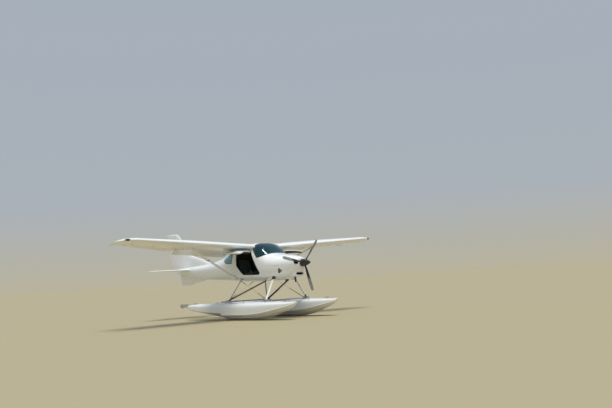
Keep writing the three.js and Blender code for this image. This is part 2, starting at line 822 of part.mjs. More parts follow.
// Rings of the tailplane: span place, front, back
const TAILPLANE = [
  [0, 1948, 2702],
  [1180, 2140, 2590],
  [1310, 2176, 2572],
  [HALF_TAILPLANE - 24, 2230, 2550],
  [HALF_TAILPLANE, 2300, 2520],
];
const ELEVATOR = { hinge: 2425, inner: 150, outer: 1300 };
function makeTailplane() {
  const half = loft(
    TAILPLANE.map(([x, front, back], i) =>
      rib(
        (y, up) => new THREE.Vector3(x, y, TAILPLANE_Z + up),
        front,
        back - front,
        i > 2 ? 0.05 : 0.085,
      ),
    ),
  );
  const spot = (x) => ({ at: [x, ELEVATOR.hinge, TAILPLANE_Z], radius: 15 });
  const cut = hinged(
    half,
    { ...spot(ELEVATOR.inner), radius: 21 },
    { ...spot(ELEVATOR.outer), radius: 11 },
    [ELEVATOR.inner, ELEVATOR.outer],
    [1300, 1700],
  );
  const behindTail = box([-10, ELEVATOR.hinge - 20, 1300], [ELEVATOR.inner + 1, 3000, 1700]);
  const fixed = seatedOn(
    half.subtract(cut.cove).subtract(behindTail),
    OUTER,
    [1, 0, 0],
  );
  placePair("tailplane", fixed, WHITE);
  // The halves turn together on a tube through the tail cone.
  const tube = bar([-1, ELEVATOR.hinge, TAILPLANE_Z], [ELEVATOR.inner + 4, ELEVATOR.hinge, TAILPLANE_Z], 9);
  place(floatplane, "elevator", bothSides(cut.surface.add(tube)), WHITE);
}

// Floats

function floatRing([y, half, deck, chine, keel]) {
  // half beam and height over the chine, as shares, from the deck's middle round to the keel
  const crown = (deck - chine) * 0.12;
  const outline = [
    [0, deck],
    [half * 0.45, deck - crown * 0.3],
    [half * 0.82, deck - crown],
    [half * 0.965, deck - crown * 2.2],
    [half, deck - crown * 4],
    [half, chine],
    [half * 0.5, keel + (chine - keel) * 0.44],
    [half * 0.06, keel],
  ];
  const left = outline.map(([x, z]) => new THREE.Vector3(FLOAT_X + x, y, z));
  const right = outline
    .slice(1)
    .toReversed()
    .map(([x, z]) => new THREE.Vector3(FLOAT_X - x, y, z));
  return [...left, ...right];
}

const hull = joined(
  loft(FOREBODY.map(floatRing)),
  loft(AFTERBODY.map(floatRing)),
);

// A deck shoe: a base plate and the lug that the struts are pinned to.
function shoeSolid([x, y, z]) {
  return joined(
    box([x - 90, y - 96, DECK_Z - 30], [x + 52, y + 96, z - 8]),
    box([x - 76, y - 78, z - 10], [x + 26, y + 78, z + 40]),
  );
}

const spreaderHalf = (foot) =>
  shoeSolid(foot).add(strut([-1, foot[1], foot[2]], foot, 70, 34));

function makeFloats() {
  const bumper = loft(
    [
      [-HALF_LENGTH, 10],
      [-HALF_LENGTH + 40, 44],
      [-HALF_LENGTH + 110, 100],
    ].map(([y, half]) =>
      Array.from({ length: 12 }, (_, i) => {
        const turn = (i / 12) * 2 * Math.PI;
        return new THREE.Vector3(
          FLOAT_X + Math.cos(turn) * half,
          y,
          446 + Math.sin(turn) * 22,
        );
      }),
    ),
  );
  const trimmedHull = hull.subtract(box([0, -3400, 300], [2000, -3334, 520]));
  placePair("float", trimmedHull, WHITE);
  placePair("bow_bumper", seatedOn(bumper, trimmedHull, [0, -1, 0]), TRIM);

  // Each bar that holds the floats apart ends in a shoe on either deck, which takes the struts.
  for (const [name, foot] of [
    ["front", FRONT_FOOT],
    ["rear", REAR_FOOT],
  ]) {
    const seated = bothSides(spreaderHalf(foot).subtract(moved(hull, [0, 0, TOUCH_ROOM])));
    place(floatplane, "spreader_bar_" + name, seated, ALLOY);
  }
}

// Float struts, from the body's pads to the deck shoes.
function makeFloatStruts() {
  const inShoe = (foot, inboard, back) => [foot[0] - inboard, foot[1] + back, foot[2] + 12];
  const table = [
    // name, pad on the body, how far it runs on into the body, its place in the shoe, chord, thickness, finish
    ["front_strut", FRONT_PAD, 90, inShoe(FRONT_FOOT, 0, 10), 74, 34, WHITE],
    ["diagonal_strut", DIAGONAL_PAD, 20, inShoe(REAR_FOOT, -5, 10), 38, 34, BLACK],
    ["rear_strut", REAR_PAD, 90, inShoe(REAR_FOOT, 37, -12), 44, 26, ALLOY],
  ];
  const shoes = spreaderHalf(FRONT_FOOT).add(spreaderHalf(REAR_FOOT));
  for (const [name, pad, runIn, low, chord, thickness, material] of table) {
    const drop = vec(low).sub(vec(pad)).normalize();
    const high = vec(pad).addScaledVector(drop, -runIn).toArray();
    const piece = seatedOn(
      seatedOn(strut(high, low, chord, thickness, 12), OUTER, drop.toArray()),
      shoes,
      [-0.7, 0, 0.7],
    );
    placePair(name, piece, material);
  }
}

// Water rudders, swung up behind the sterns for parking.
const WATER_RUDDER = { y: STERN_Y + 62, z: 372 };
function makeWaterRudders() {
  const { y, z } = WATER_RUDDER;
  const bracket = seatedOn(
    box([FLOAT_X - 24, STERN_Y - 60, z - 6], [FLOAT_X + 24, y + 24, z + 10]),
    hull,
    [0, 1, 0],
  );
  const post = bar([FLOAT_X, y, z + 10 + TOUCH_ROOM], [FLOAT_X, y, z + 96], 16);
  const tiller = box([FLOAT_X - 96, y - 12, z + 70], [FLOAT_X + 96, y + 12, z + 80]);
  const blade = sidePrism(
    [
      [y - 6, z + 30],
      [y + 40, z + 84],
      [y + 330, z + 92],
      [y + 372, z + 60],
      [y + 350, z - 6],
      [y + 250, z - 34],
      [y + 60, z + 14],
    ],
    FLOAT_X - 5,
    FLOAT_X + 5,
  );
  const swung = joined(post, tiller, blade).subtract(
    box([FLOAT_X - 200, y - 200, z - 60], [FLOAT_X + 200, y + 25, z + 10 + TOUCH_ROOM]),
  );
  placePair("rudder_bracket", bracket, BLACK);
  placePair("water_rudder", swung, ALLOY);
}

// Propeller

const SPINNER_BACK_Y = -2868;
// Spinner outline from its tip: radius, distance back
const SPINNER = [
  [0, 0],
  [20, 16],
  [40, 46],
  [60, 98],
  [76, 150],
  [90, 204],
  [100, 262],
  [100, 309],
  [0, 309],
];
const HUB = { radius: 54, front: -3006, back: -2876 };
const BLADE_ANGLE = radians(41);
// Stations of a blade: radius, chord, thickness, pitch in degrees
const BLADE = [
  [40, 52, 50, 44],
  [130, 50, 40, 42],
  [200, 58, 26, 37],
  [300, 68, 18, 29],
  [430, 80, 13, 22],
  [600, 92, 10, 17],
  [740, 88, 8, 14],
  [785, 66, 7, 13],
  [PROP_RADIUS, 30, 5, 13],
];

// One blade, drawn along the way that it points: u lies in the disc and v along the shaft.
function bladeSolid(turn) {
  const corners = 14;
  return loft(
    BLADE.map(([r, chord, thickness, pitch]) => {
      const [c, s] = [Math.cos(radians(pitch)), Math.sin(radians(pitch))];
      return Array.from({ length: corners }, (_, i) => {
        const t = (i / corners) * 2 * Math.PI;
        const u = (Math.cos(t) * chord) / 2;
        const v = (Math.sin(t) * thickness) / 2;
        const across = u * c - v * s;
        const fore = u * s + v * c;
        return new THREE.Vector3(
          r * Math.sin(turn) + across * Math.cos(turn),
          PROP_Y + fore,
          PROP_Z + r * Math.cos(turn) - across * Math.sin(turn),
        );
      });
    }),
  );
}

function makePropeller() {
  const lathe = new THREE.LatheGeometry(SPINNER.map((p) => new THREE.Vector2(...p)), 32);
  lathe.translate(0, SPINNER_BACK_Y - SPINNER.at(-1)[1], 0);
  const dome = moved(solid(lathe), [0, 0, PROP_Z]);
  const onAxis = (from, to, radius) => bar([0, from, PROP_Z], [0, to, PROP_Z], radius, radius, 24);
  const turns = [0, 1, 2].map((k) => BLADE_ANGLE + (k * 2 * Math.PI) / 3);
  const slots = turns.map((turn) => {
    const [sx, sz] = [Math.sin(turn), Math.cos(turn)];
    return bar(
      [sx * 20, PROP_Y, PROP_Z + sz * 20],
      [sx * 160, PROP_Y, PROP_Z + sz * 160],
      BLADE[0][1] / 2 + 2 * TOUCH_ROOM,
      BLADE[0][1] / 2 + 2 * TOUCH_ROOM,
      24,
    );
  });
  const cup = dome
    .subtract(onAxis(HUB.front - TOUCH_ROOM, SPINNER_BACK_Y + 10, HUB.radius + TOUCH_ROOM))
    .subtract(joined(...slots));
  place(floatplane, "spinner", cup, BRONZE);
  const shaft = onAxis(HUB.back - 10, ENGINE_FRONT_Y - TOUCH_ROOM, 40);
  place(floatplane, "prop_hub", joined(onAxis(HUB.front, HUB.back, HUB.radius), shaft), STEEL);
  turns.forEach((turn, k) => {
    const gripped = onAxis(HUB.front - 5, HUB.back + 5, HUB.radius + TOUCH_ROOM);
    place(floatplane, "prop_blade_" + (k + 1), bladeSolid(turn).subtract(gripped), BLACK);
  });
}

// Cabin fittings

function makeInterior() {
  const seat = sidePrism(
    [
      [-1330, 1100],
      [-1330, 1290],
      [-1250, 1310],
      [-900, 1262],
      [-740, 1700],
      [-650, 1700],
      [-640, 1640],
      [-800, 1150],
      [-830, 1100],
    ],
    40,
    440,
  );
  const inside = fuselageBody(-1700, -500, CABIN_WALL + TOUCH_ROOM);
  const console = box([-1, -1300, 1100], [60, -860, 1240]);
  place(floatplane, "seats", bothSides(seat.add(console).intersect(inside)), TRIM);
  const panel = sidePrism(
    [
      [-1810, 1420],
      [-1750, 1400],
      [-1690, 1680],
      [-1740, 1720],
      [-1860, 1730],
    ],
    -600,
    600,
  ).intersect(fuselageBody(-2000, -1500, CABIN_WALL + TOUCH_ROOM));
  place(floatplane, "instrument_panel", panel, BLACK);
  const stick = joined(
    bar([-1, -1500, 1075], [250, -1500, 1075], 14),
    bar([240, -1500, 1075], [240, -1520, 1280], 11),
    bar([240, -1520, 1270], [240, -1490, 1400], 16),
  );
  place(floatplane, "control_sticks", bothSides(stick).intersect(inside), BLACK);
}

makeCabin();
makeDoors();
makeTailCone();
makeCowling();
makeWings();
makeFin();
makeTailplane();
makeFloats();
makeFloatStruts();
makeWaterRudders();
makePropeller();
makeInterior();

export default floatplane;
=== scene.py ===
from math import ceil, copysign, cos, pi, radians, sin, sqrt, tan, tau

import bmesh
import bpy
from mathutils import Matrix, Vector
from mathutils.bvhtree import BVHTree


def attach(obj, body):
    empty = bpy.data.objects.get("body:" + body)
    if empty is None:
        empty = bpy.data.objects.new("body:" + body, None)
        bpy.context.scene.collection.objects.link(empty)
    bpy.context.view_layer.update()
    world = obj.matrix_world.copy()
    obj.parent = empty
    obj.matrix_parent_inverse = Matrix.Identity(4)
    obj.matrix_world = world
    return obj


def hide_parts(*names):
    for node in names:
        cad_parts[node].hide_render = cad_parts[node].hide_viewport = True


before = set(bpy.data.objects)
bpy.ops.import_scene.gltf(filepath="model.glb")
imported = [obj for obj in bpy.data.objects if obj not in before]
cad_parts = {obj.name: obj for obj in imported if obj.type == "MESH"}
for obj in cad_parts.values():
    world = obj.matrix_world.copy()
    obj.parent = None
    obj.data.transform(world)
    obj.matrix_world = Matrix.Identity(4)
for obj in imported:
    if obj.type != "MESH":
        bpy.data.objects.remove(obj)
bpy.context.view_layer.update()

scene = bpy.context.scene


def new_object(name, data):
    """An object in the scene with the given data."""
    made = bpy.data.objects.new(name, data)
    scene.collection.objects.link(made)
    return made


# The viewpoint is a beach some 24 m off the aircraft's right-hand bow, with the eye at the height of the
# floats' struts. The lens takes in 612 by 408 pixels, and the aircraft lies a little nose-up and rolled in
# that frame.
EYE = Vector((-15.1914, -18.3, 1.0431))
VIEW_TURN = radians(44.9704)
VIEW_PITCH = radians(5.2605)
VIEW_ROLL = radians(-3.0817)
FOCAL_PIXELS = 805.24
IMAGE_WIDTH = 612

forward = Vector((cos(VIEW_PITCH) * cos(VIEW_TURN), cos(VIEW_PITCH) * sin(VIEW_TURN), sin(VIEW_PITCH)))
level_right = Vector((sin(VIEW_TURN), -cos(VIEW_TURN), 0))
level_up = level_right.cross(forward)
camera_right = level_right * cos(VIEW_ROLL) + level_up * sin(VIEW_ROLL)
camera_up = level_up * cos(VIEW_ROLL) - level_right * sin(VIEW_ROLL)
camera = new_object("camera", bpy.data.cameras.new("camera"))
camera.data.sensor_width = 36
camera.data.lens = 36 * FOCAL_PIXELS / IMAGE_WIDTH
camera.data.clip_end = 2000
axes = Matrix((camera_right, camera_up, -forward)).transposed()
camera.matrix_world = Matrix.Translation(EYE) @ axes.to_4x4()
scene.camera = camera

# The floor is a wide pale slab of the colour of light sand. The light is that of a studio with one very
# large soft lamp high overhead, a faint fill from the front and pale walls that meet the floor without an
# edge.
FLOOR_HALF = 2000.0
FLOOR_COLOUR = (0.405, 0.345, 0.208, 1)
# height over the horizon, colour
WALLS = [(0.0, (0.48, 0.448, 0.335, 1)), (0.1, (0.4, 0.44, 0.485, 1)), (1.0, (0.32, 0.4, 0.52, 1))]
# direction to the lamp, strength, spread in degrees, colour, whether glossy surfaces show it
LAMPS = [
    ((-0.1, -0.24, 0.965), 2.65, 26, (1.0, 0.98, 0.94), False),
    ((0.11, 0.01, 0.99), 0.26, 7, (1.0, 0.98, 0.94), True),
    ((-0.6, -0.75, 0.25), 0.16, 60, (0.92, 0.96, 1.0), False),
]

floor_mesh = bpy.data.meshes.new("floor")
corners = [(x * FLOOR_HALF, y * FLOOR_HALF, 0) for x, y in ((-1, -1), (1, -1), (1, 1), (-1, 1))]
floor_mesh.from_pydata(corners, [], [(0, 1, 2, 3)])
floor_finish = bpy.data.materials.new("floor_pale")
floor_finish.use_nodes = True
floor_shader = floor_finish.node_tree.nodes["Principled BSDF"].inputs
floor_shader["Base Color"].default_value = FLOOR_COLOUR
floor_shader["Roughness"].default_value = 0.75
floor_mesh.materials.append(floor_finish)
new_object("floor", floor_mesh)

world = bpy.data.worlds.new("studio")
world.use_nodes = True
walls = world.node_tree
look = walls.nodes.new("ShaderNodeTexCoord")
height = walls.nodes.new("ShaderNodeSeparateXYZ")
blend = walls.nodes.new("ShaderNodeValToRGB")
blend.color_ramp.elements.new(0.5)
for stop, (height_share, colour) in zip(blend.color_ramp.elements, WALLS):
    stop.position, stop.color = height_share, colour
walls.links.new(look.outputs["Generated"], height.inputs[0])
walls.links.new(height.outputs["Z"], blend.inputs[0])
walls.links.new(blend.outputs["Color"], walls.nodes["Background"].inputs["Color"])
scene.world = world
scene.view_settings.view_transform = "Standard"
for k, (way, strength, spread, colour, mirrored_in_gloss) in enumerate(LAMPS):
    sun = bpy.data.lights.new(f"lamp_{k}", "SUN")
    sun.energy, sun.angle, sun.color = strength, radians(spread), colour
    lamp = new_object(f"lamp_{k}", sun)
    lamp.rotation_euler = Vector(way).to_track_quat("Z", "Y").to_euler()
    lamp.visible_glossy = mirrored_in_gloss

# The fuselage is a pair of moulded glass-fibre shells: the cabin with its openings, the tube that tapers to
# the tail, and the cowling. Each is a loft through squared ovals, hollowed and cut as the mould leaves it.
# y, bottom, top, half width, height of the widest place, lower and upper squareness
FUSELAGE = [
    (-2.850, 1.350, 1.580, 0.114, 1.480, 2.1, 2.4),
    (-2.838, 1.312, 1.600, 0.146, 1.480, 2.0, 2.4),
    (-2.815, 1.276, 1.616, 0.174, 1.478, 2.0, 2.4),
    (-2.760, 1.215, 1.636, 0.220, 1.470, 2.0, 2.4),
    (-2.660, 1.150, 1.660, 0.290, 1.455, 2.2, 2.3),
    (-2.500, 1.090, 1.690, 0.380, 1.436, 2.3, 2.3),
    (-2.300, 1.054, 1.718, 0.450, 1.425, 2.5, 2.3),
    (-2.060, 1.032, 1.748, 0.505, 1.425, 2.6, 2.4),
    (-1.960, 1.028, 1.772, 0.522, 1.430, 2.6, 2.5),
    (-1.820, 1.024, 1.868, 0.543, 1.435, 2.7, 2.6),
    (-1.660, 1.022, 1.988, 0.562, 1.440, 2.7, 2.8),
    (-1.500, 1.022, 2.072, 0.574, 1.445, 2.7, 3.0),
    (-1.300, 1.022, 2.100, 0.580, 1.448, 2.7, 3.1),
    (-1.000, 1.024, 2.100, 0.578, 1.450, 2.7, 3.1),
    (-0.700, 1.034, 2.070, 0.560, 1.450, 2.6, 3.0),
    (-0.400, 1.056, 1.988, 0.515, 1.450, 2.5, 2.8),
    (-0.150, 1.078, 1.896, 0.462, 1.448, 2.4, 2.5),
    (0.150, 1.098, 1.800, 0.396, 1.446, 2.3, 2.3),
    (0.600, 1.122, 1.700, 0.312, 1.444, 2.2, 2.2),
    (1.000, 1.146, 1.644, 0.252, 1.440, 2.2, 2.1),
    (1.500, 1.184, 1.604, 0.194, 1.436, 2.2, 2.1),
    (2.000, 1.246, 1.580, 0.143, 1.440, 2.2, 2.1),
    (2.400, 1.306, 1.564, 0.100, 1.450, 2.2, 2.1),
    (2.648, 1.350, 1.553, 0.062, 1.456, 2.2, 2.1),
]
NOSE_Y, TAIL_END_Y = FUSELAGE[0][0], FUSELAGE[-1][0]
FIREWALL_Y, TAIL_JOIN_Y = -2.06, 0.15
CABIN_WALL, COWL_WALL, TUBE_WALL = 0.03, 0.018, 0.024
RING_POINTS = 112
STATION_STEP = 0.03
JOIN_GAP, FIT_GAP = 0.0008, 0.0004


def smooth(table, column, at):
    """One column of a table at a place between its rows, with no overshoot."""
    last = len(table) - 1
    i = 0
    while i < last - 1 and at > table[i + 1][0]:
        i += 1

    def slope(k):
        return (table[k + 1][column] - table[k][column]) / (table[k + 1][0] - table[k][0])

    def tangent(k):
        if k in (0, last):
            return slope(min(k, last - 1))
        a, b = slope(k - 1), slope(k)
        return 0 if a * b <= 0 else 2 * a * b / (a + b)

    start, end = table[i], table[i + 1]
    width = end[0] - start[0]
    t = (at - start[0]) / width
    t2, t3 = t * t, t * t * t
    return ((2 * t3 - 3 * t2 + 1) * start[column] + (t3 - 2 * t2 + t) * width * tangent(i)
            + (3 * t2 - 2 * t3) * end[column] + (t3 - t2) * width * tangent(i + 1))


def solid_object(points, faces):
    """A closed mesh in the scene, its faces pointing out."""
    mesh = bpy.data.meshes.new("solid")
    shape = bmesh.new()
    made = [shape.verts.new(p) for p in points]
    for face in faces:
        shape.faces.new([made[i] for i in face])
    bmesh.ops.recalc_face_normals(shape, faces=shape.faces)
    if shape.calc_volume(signed=True) < 0:
        bmesh.ops.reverse_faces(shape, faces=shape.faces)
    shape.to_mesh(mesh)
    shape.free()
    return new_object("solid", mesh)


def loft(rings):
    """A closed body through rings that all have the same number of points."""
    count, last = len(rings[0]), len(rings) - 1
    faces = []
    for r in range(last):
        for i in range(count):
            a, b = r * count + i, r * count + (i + 1) % count
            faces.append((a, b, b + count, a + count))
    faces += [range(count), range(last * count, (last + 1) * count)]
    return solid_object([p for ring in rings for p in ring], faces)


def fuselage_ring(y, margin=0.0):
    """One cross-section, drawn in by an even margin."""
    bottom, top, half, widest, lower, upper = (smooth(FUSELAGE, c, y) for c in range(1, 7))
    ring = []
    for i in range(RING_POINTS):
        turn = (i + 0.5) / RING_POINTS * tau
        c, s = cos(turn), sin(turn)
        squareness, reach = (lower, widest - bottom - margin) if s < 0 else (upper, top - margin - widest)
        ring.append((copysign(abs(c) ** (2 / squareness), c) * (half - margin), y,
                     widest + copysign(abs(s) ** (2 / squareness), s) * reach))
    return ring


def even_stations(start, end, step):
    count = max(2, ceil((end - start) / step))
    return {round(start + (end - start) * k / count, 4) for k in range(count + 1)}


def fuselage(start, end, margin=0.0):
    """The fuselage from one station to another, as a solid."""
    stations = even_stations(start, end, STATION_STEP)
    ordered = sorted(stations | {row[0] for row in FUSELAGE if start < row[0] < end})
    kept = [ordered[0]] + [b for a, b in zip(ordered, ordered[1:]) if b - a > 0.004 or b == ordered[-1]]
    return loft([fuselage_ring(y, margin) for y in kept])


def baked(thing):
    """A plain mesh of a thing as its modifiers leave it."""
    return bpy.data.meshes.new_from_object(thing.evaluated_get(bpy.context.evaluated_depsgraph_get()))


def settled(piece):
    """Makes what a piece's modifiers do part of its own mesh."""
    mesh = baked(piece)
    piece.modifiers.clear()
    piece.data = mesh
    return piece


def combine(piece, how, *others):
    """Joins other solids to a piece, cuts them from it or keeps what lies in them, and uses them up."""
    for other in others:
        step = piece.modifiers.new("step", "BOOLEAN")
        step.operation, step.solver, step.object = how, "MANIFOLD", other
    settled(piece)
    for other in others:
        bpy.data.objects.remove(other)
    return piece


def cut(piece, *others):
    return combine(piece, "DIFFERENCE", *others)


def join(piece, *others):
    return combine(piece, "UNION", *others)


def keep(piece, *others):
    return combine(piece, "INTERSECT", *others)


def skin_layer(start, end, outer, inner):
    """What lies between two depths under the fuselage's surface."""
    return cut(fuselage(start, end, outer), fuselage(start - 0.001, end + 0.001, inner))


def copy_of(piece):
    return new_object(piece.name, piece.data.copy())


def mirrored(piece):
    """The same piece for the other side of the aircraft."""
    twin = copy_of(piece)
    twin.data.transform(Matrix.Diagonal((-1, 1, 1, 1)))
    twin.data.flip_normals()
    return twin


def rounded(outline, radius, steps=5):
    """An outline with every corner rounded, as far as its sides allow."""
    points = [Vector(p) for p in outline]
    made = []
    for i, corner in enumerate(points):
        before, after = points[i - 1] - corner, points[(i + 1) % len(points)] - corner
        half_angle = before.angle(after) / 2
        reach = min(radius / max(0.05, tan(half_angle)), 0.45 * before.length, 0.45 * after.length)
        first, last = corner + before.normalized() * reach, corner + after.normalized() * reach
        for k in range(steps + 1):
            t = k / steps
            made.append(first * (1 - t) ** 2 + corner * 2 * t * (1 - t) + last * t * t)
    return made


def side_prism(outline, left, right):
    """An outline of y and z points, run across the aircraft."""
    return loft([[(x, *p) for p in outline] for x in (left, right)])


def block(low, high, at=(0, 0, 0)):
    """A plain block between two corners, which may be measured from a place."""
    spans = [(a + l, a + h) for a, l, h in zip(at, low, high)]
    points = [(x, y, z) for x in spans[0] for y in spans[1] for z in spans[2]]
    sides = [(0, 1, 3, 2), (4, 5, 7, 6), (0, 1, 5, 4), (2, 3, 7, 6), (0, 2, 6, 4), (1, 3, 7, 5)]
    return solid_object(points, sides)


def circle(count):
    """The cosine and sine of each of a number of even turns."""
    return [(cos(k / count * tau), sin(k / count * tau)) for k in range(count)]


def rod(start, end, radius, end_radius=None, sides=32, at=(0, 0, 0)):
    """A round bar between two points, which may be measured from a place."""
    start, end = (Vector([a + p for a, p in zip(at, point)]) for point in (start, end))
    along = (end - start).normalized()
    side = along.orthogonal().normalized()
    other = along.cross(side)
    rings = []
    for centre, r in ((start, radius), (end, radius if end_radius is None else end_radius)):
        rings.append([centre + (side * c + other * s) * r for c, s in circle(sides)])
    return loft(rings)


def drawn_in(outline, margin):
    """An outline with its sides moved in by an even margin."""
    points = [Vector(p) for p in outline]
    area = sum(a.x * b.y - b.x * a.y for a, b in zip(points, points[1:] + points[:1]))
    sign = copysign(1, area)
    inward = []
    for a, b in zip(points, points[1:] + points[:1]):
        edge = (b - a).normalized()
        inward.append(Vector((-edge.y, edge.x)) * sign)
    made = []
    for i, p in enumerate(points):
        before, after = inward[i - 1], inward[i]
        made.append(p + (before + after) * margin / (1 + before.dot(after)))
    return made


def fill(node, **inputs):
    """Fills a node's inputs, by name or as n and a number, with a value, a socket or a node."""
    for key, value in inputs.items():
        socket = node.inputs[int(key[1:]) if key[1:].isdigit() else key.replace("_", " ")]
        if isinstance(value, bpy.types.Node):
            value = value.outputs[0]
        if isinstance(value, bpy.types.NodeSocket):
            node.id_data.links.new(value, socket)
        else:
            socket.default_value = value
    return node


def add_node(tree, kind, settings=(), **inputs):
    """Adds a node, sets its options and fills its inputs."""
    node = tree.nodes.new(kind if "Node" in kind else "ShaderNode" + kind)
    for key, value in dict(settings).items():
        setattr(node, key, value)
    return fill(node, **inputs)


def maths(tree, operation, first, second):
    return add_node(tree, "Math", {"operation": operation}, n0=first, n1=second)


def ranged(tree, value, low, high):
    """A value from 0 to 1 brought between two others."""
    return add_node(tree, "MapRange", Value=value, To_Min=low, To_Max=high)


def bumped(tree, strength, distance, height):
    return add_node(tree, "Bump", Strength=strength, Distance=distance, Height=height)


def node_group(name, kind, inputs, outputs):
    """An empty node group with its named inputs and outputs."""
    group = bpy.data.node_groups.new(name, kind)
    for way, sockets in (("INPUT", inputs), ("OUTPUT", outputs)):
        for label, socket_kind in sockets.items():
            group.interface.new_socket(label, in_out=way, socket_type="NodeSocket" + socket_kind)
    return group, group.nodes.new("NodeGroupInput").outputs, group.nodes.new("NodeGroupOutput")


def object_place(tree):
    return add_node(tree, "TexCoord").outputs["Object"]


def build_weathering():
    """Patchy grime, grime that runs in streaks, a mask that grows towards the bottom, and the slight wave of
    a moulded skin.
    """
    group, given, result = node_group(
        "moulded_skin", "ShaderNodeTree", dict.fromkeys(("Scale", "Low", "High"), "Float"),
        dict.fromkeys(("Grime", "Streaks", "Low Down", "Height"), "Float"),
    )
    place = object_place(group)
    sized = add_node(group, "VectorMath", {"operation": "SCALE"}, Vector=place, Scale=given["Scale"])

    def noise(scale, detail, roughness=0.5, at=sized):
        return add_node(group, "TexNoise", Vector=at, Scale=scale, Detail=detail, Roughness=roughness)

    specks = maths(group, "MULTIPLY", noise(2.3, 6.0, 0.62), noise(31.0, 3.0, 0.6))
    grime = add_node(group, "MapRange", Value=specks, From_Min=0.18, From_Max=0.42)
    stretched = add_node(group, "Mapping", Vector=sized, Scale=(9.0, 9.0, 0.7))
    runs = noise(1.6, 4.0, 0.55, stretched)
    streaks = add_node(group, "MapRange", Value=runs, From_Min=0.52, From_Max=0.75)
    up = add_node(group, "SeparateXYZ", Vector=place).outputs["Z"]
    low = add_node(group, "MapRange", Value=up, From_Min=given["High"], From_Max=given["Low"])
    height = maths(group, "ADD", noise(3.1, 1.0), maths(group, "MULTIPLY", noise(140.0, 1.0), 0.02))
    fill(result, Grime=grime, Streaks=streaks, Low_Down=low, Height=height)
    return group


moulded_skin = build_weathering()


def new_material(name):
    """A new material of the given name, with its tree and its shader."""
    material = bpy.data.materials.new(name)
    material.use_nodes = True
    return material, material.node_tree, material.node_tree.nodes["Principled BSDF"]


def mixed_colour(tree, share, first, second):
    """A colour between two, by a mask."""
    ends = [(*end, 1) if isinstance(end, tuple) else end for end in (first, second)]
    return add_node(tree, "Mix", {"data_type": "RGBA"}, n0=share, n6=ends[0], n7=ends[1]).outputs[2]


def shaded(colour, share):
    return tuple(c * share for c in colour)


def group_node(tree, group, **values):
    """What a shared node group gives for the values of one material."""
    node = tree.nodes.new("ShaderNodeGroup")
    node.node_tree = group
    return fill(node, **values).outputs


def dusty(name, scale, clean, dirty, dull=None):
    """The start of a plain finish, its colour and gloss changed where grime has gathered."""
    material, tree, shader = new_material(name)
    skin = group_node(tree, moulded_skin, Scale=scale, Low=0.0, High=1.0)
    fill(shader, Base_Color=mixed_colour(tree, skin["Grime"], clean, dirty))
    if dull:
        fill(shader, Roughness=ranged(tree, skin["Grime"], *dull))
    return material, tree, shader, skin


def gelcoat(name, low=0.9, high=1.3, low_amount=0.25, streak_amount=0.1):
    """Polished white gelcoat, tinted olive-grey in patches towards the bottom, with thin runs and a faint
    wave.
    """
    material, tree, shader = new_material(name)
    skin = group_node(tree, moulded_skin, Scale=1.0, Low=low, High=high)
    # an olive-grey tint in patches, growing towards the bottom
    low_tint = maths(tree, "MULTIPLY", maths(tree, "MULTIPLY", skin["Low Down"], skin["Grime"]), low_amount)
    runs = maths(tree, "MULTIPLY", skin["Streaks"], streak_amount)
    tinted_low = mixed_colour(tree, low_tint, GELCOAT_WHITE, GELCOAT_LOW_TINT)
    fill(shader, Base_Color=mixed_colour(tree, runs, tinted_low, shaded(GELCOAT_WHITE, 0.72)),
         Roughness=ranged(tree, skin["Grime"], 0.19, 0.29), Normal=bumped(tree, 0.05, 0.01, skin["Height"]),
         Coat_Weight=0.35, Coat_Roughness=0.06, Specular_IOR_Level=0.5)
    return material


# the gelcoat's white, and the olive-grey that it is tinted in patches towards the bottom
GELCOAT_WHITE, GELCOAT_LOW_TINT = (0.86, 0.87, 0.86), (0.46, 0.45, 0.36)
white_gelcoat = gelcoat("white_gelcoat")


def dress(piece, name, material, *nodes, body="airframe", sharp=32):
    """Names a finished piece, shades it, gives it its finish, hangs it on the body it rides on, and hides the
    model's parts that it stands for.
    """
    mesh = piece.data
    piece.name = mesh.name = name
    mesh.materials.clear()
    mesh.materials.append(material)
    mesh.polygons.foreach_set("material_index", [0] * len(mesh.polygons))
    mesh.polygons.foreach_set("use_smooth", [True] * len(mesh.polygons))
    mesh.set_sharp_from_angle(angle=radians(sharp))
    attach(piece, body)
    if nodes:
        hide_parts(*nodes)
    return piece


DOORWAY = [(-1.402, 1.85), (-0.8, 1.834), (-0.762, 1.8), (-0.772, 1.5), (-1.04, 1.222), (-1.66, 1.206),
           (-1.716, 1.236), (-1.722, 1.28)]
WINDSHIELD = [(-1.402, 2.2), (-1.402, 2.036), (-1.43, 1.936), (-1.639, 1.671), (-1.793, 1.708),
              (-1.874, 1.751), (-1.945, 1.79), (-1.945, 2.2)]
REAR_WINDOW = [(-0.572, 1.572), (-0.572, 1.822), (-0.33, 1.828), (-0.16, 1.778), (-0.036, 1.69),
               (-0.11, 1.624), (-0.254, 1.578), (-0.42, 1.566)]
CORNER_RADIUS = 0.028
HINGE_X, HINGE_Z, HINGE_FRONT, HINGE_BACK = 0.5366, 1.86, -1.41, -0.79
BARREL_RADIUS = 0.008


def across(outline, radius=CORNER_RADIUS):
    """An opening's outline, run through both sides of the body."""
    return side_prism(rounded(outline, radius), -0.9, 0.9)


cabin = fuselage(FIREWALL_Y, TAIL_JOIN_Y)
channels = [rod((side * HINGE_X, HINGE_FRONT, HINGE_Z), (side * HINGE_X, HINGE_BACK, HINGE_Z),
                BARREL_RADIUS + FIT_GAP) for side in (1, -1)]
cut(cabin, fuselage(FIREWALL_Y + CABIN_WALL, TAIL_JOIN_Y + 0.01, CABIN_WALL), across(DOORWAY, 0.04),
    across(WINDSHIELD, 0.02), across(REAR_WINDOW), *channels)
dress(cabin, "cabin_skin", white_gelcoat, "cabin_shell")

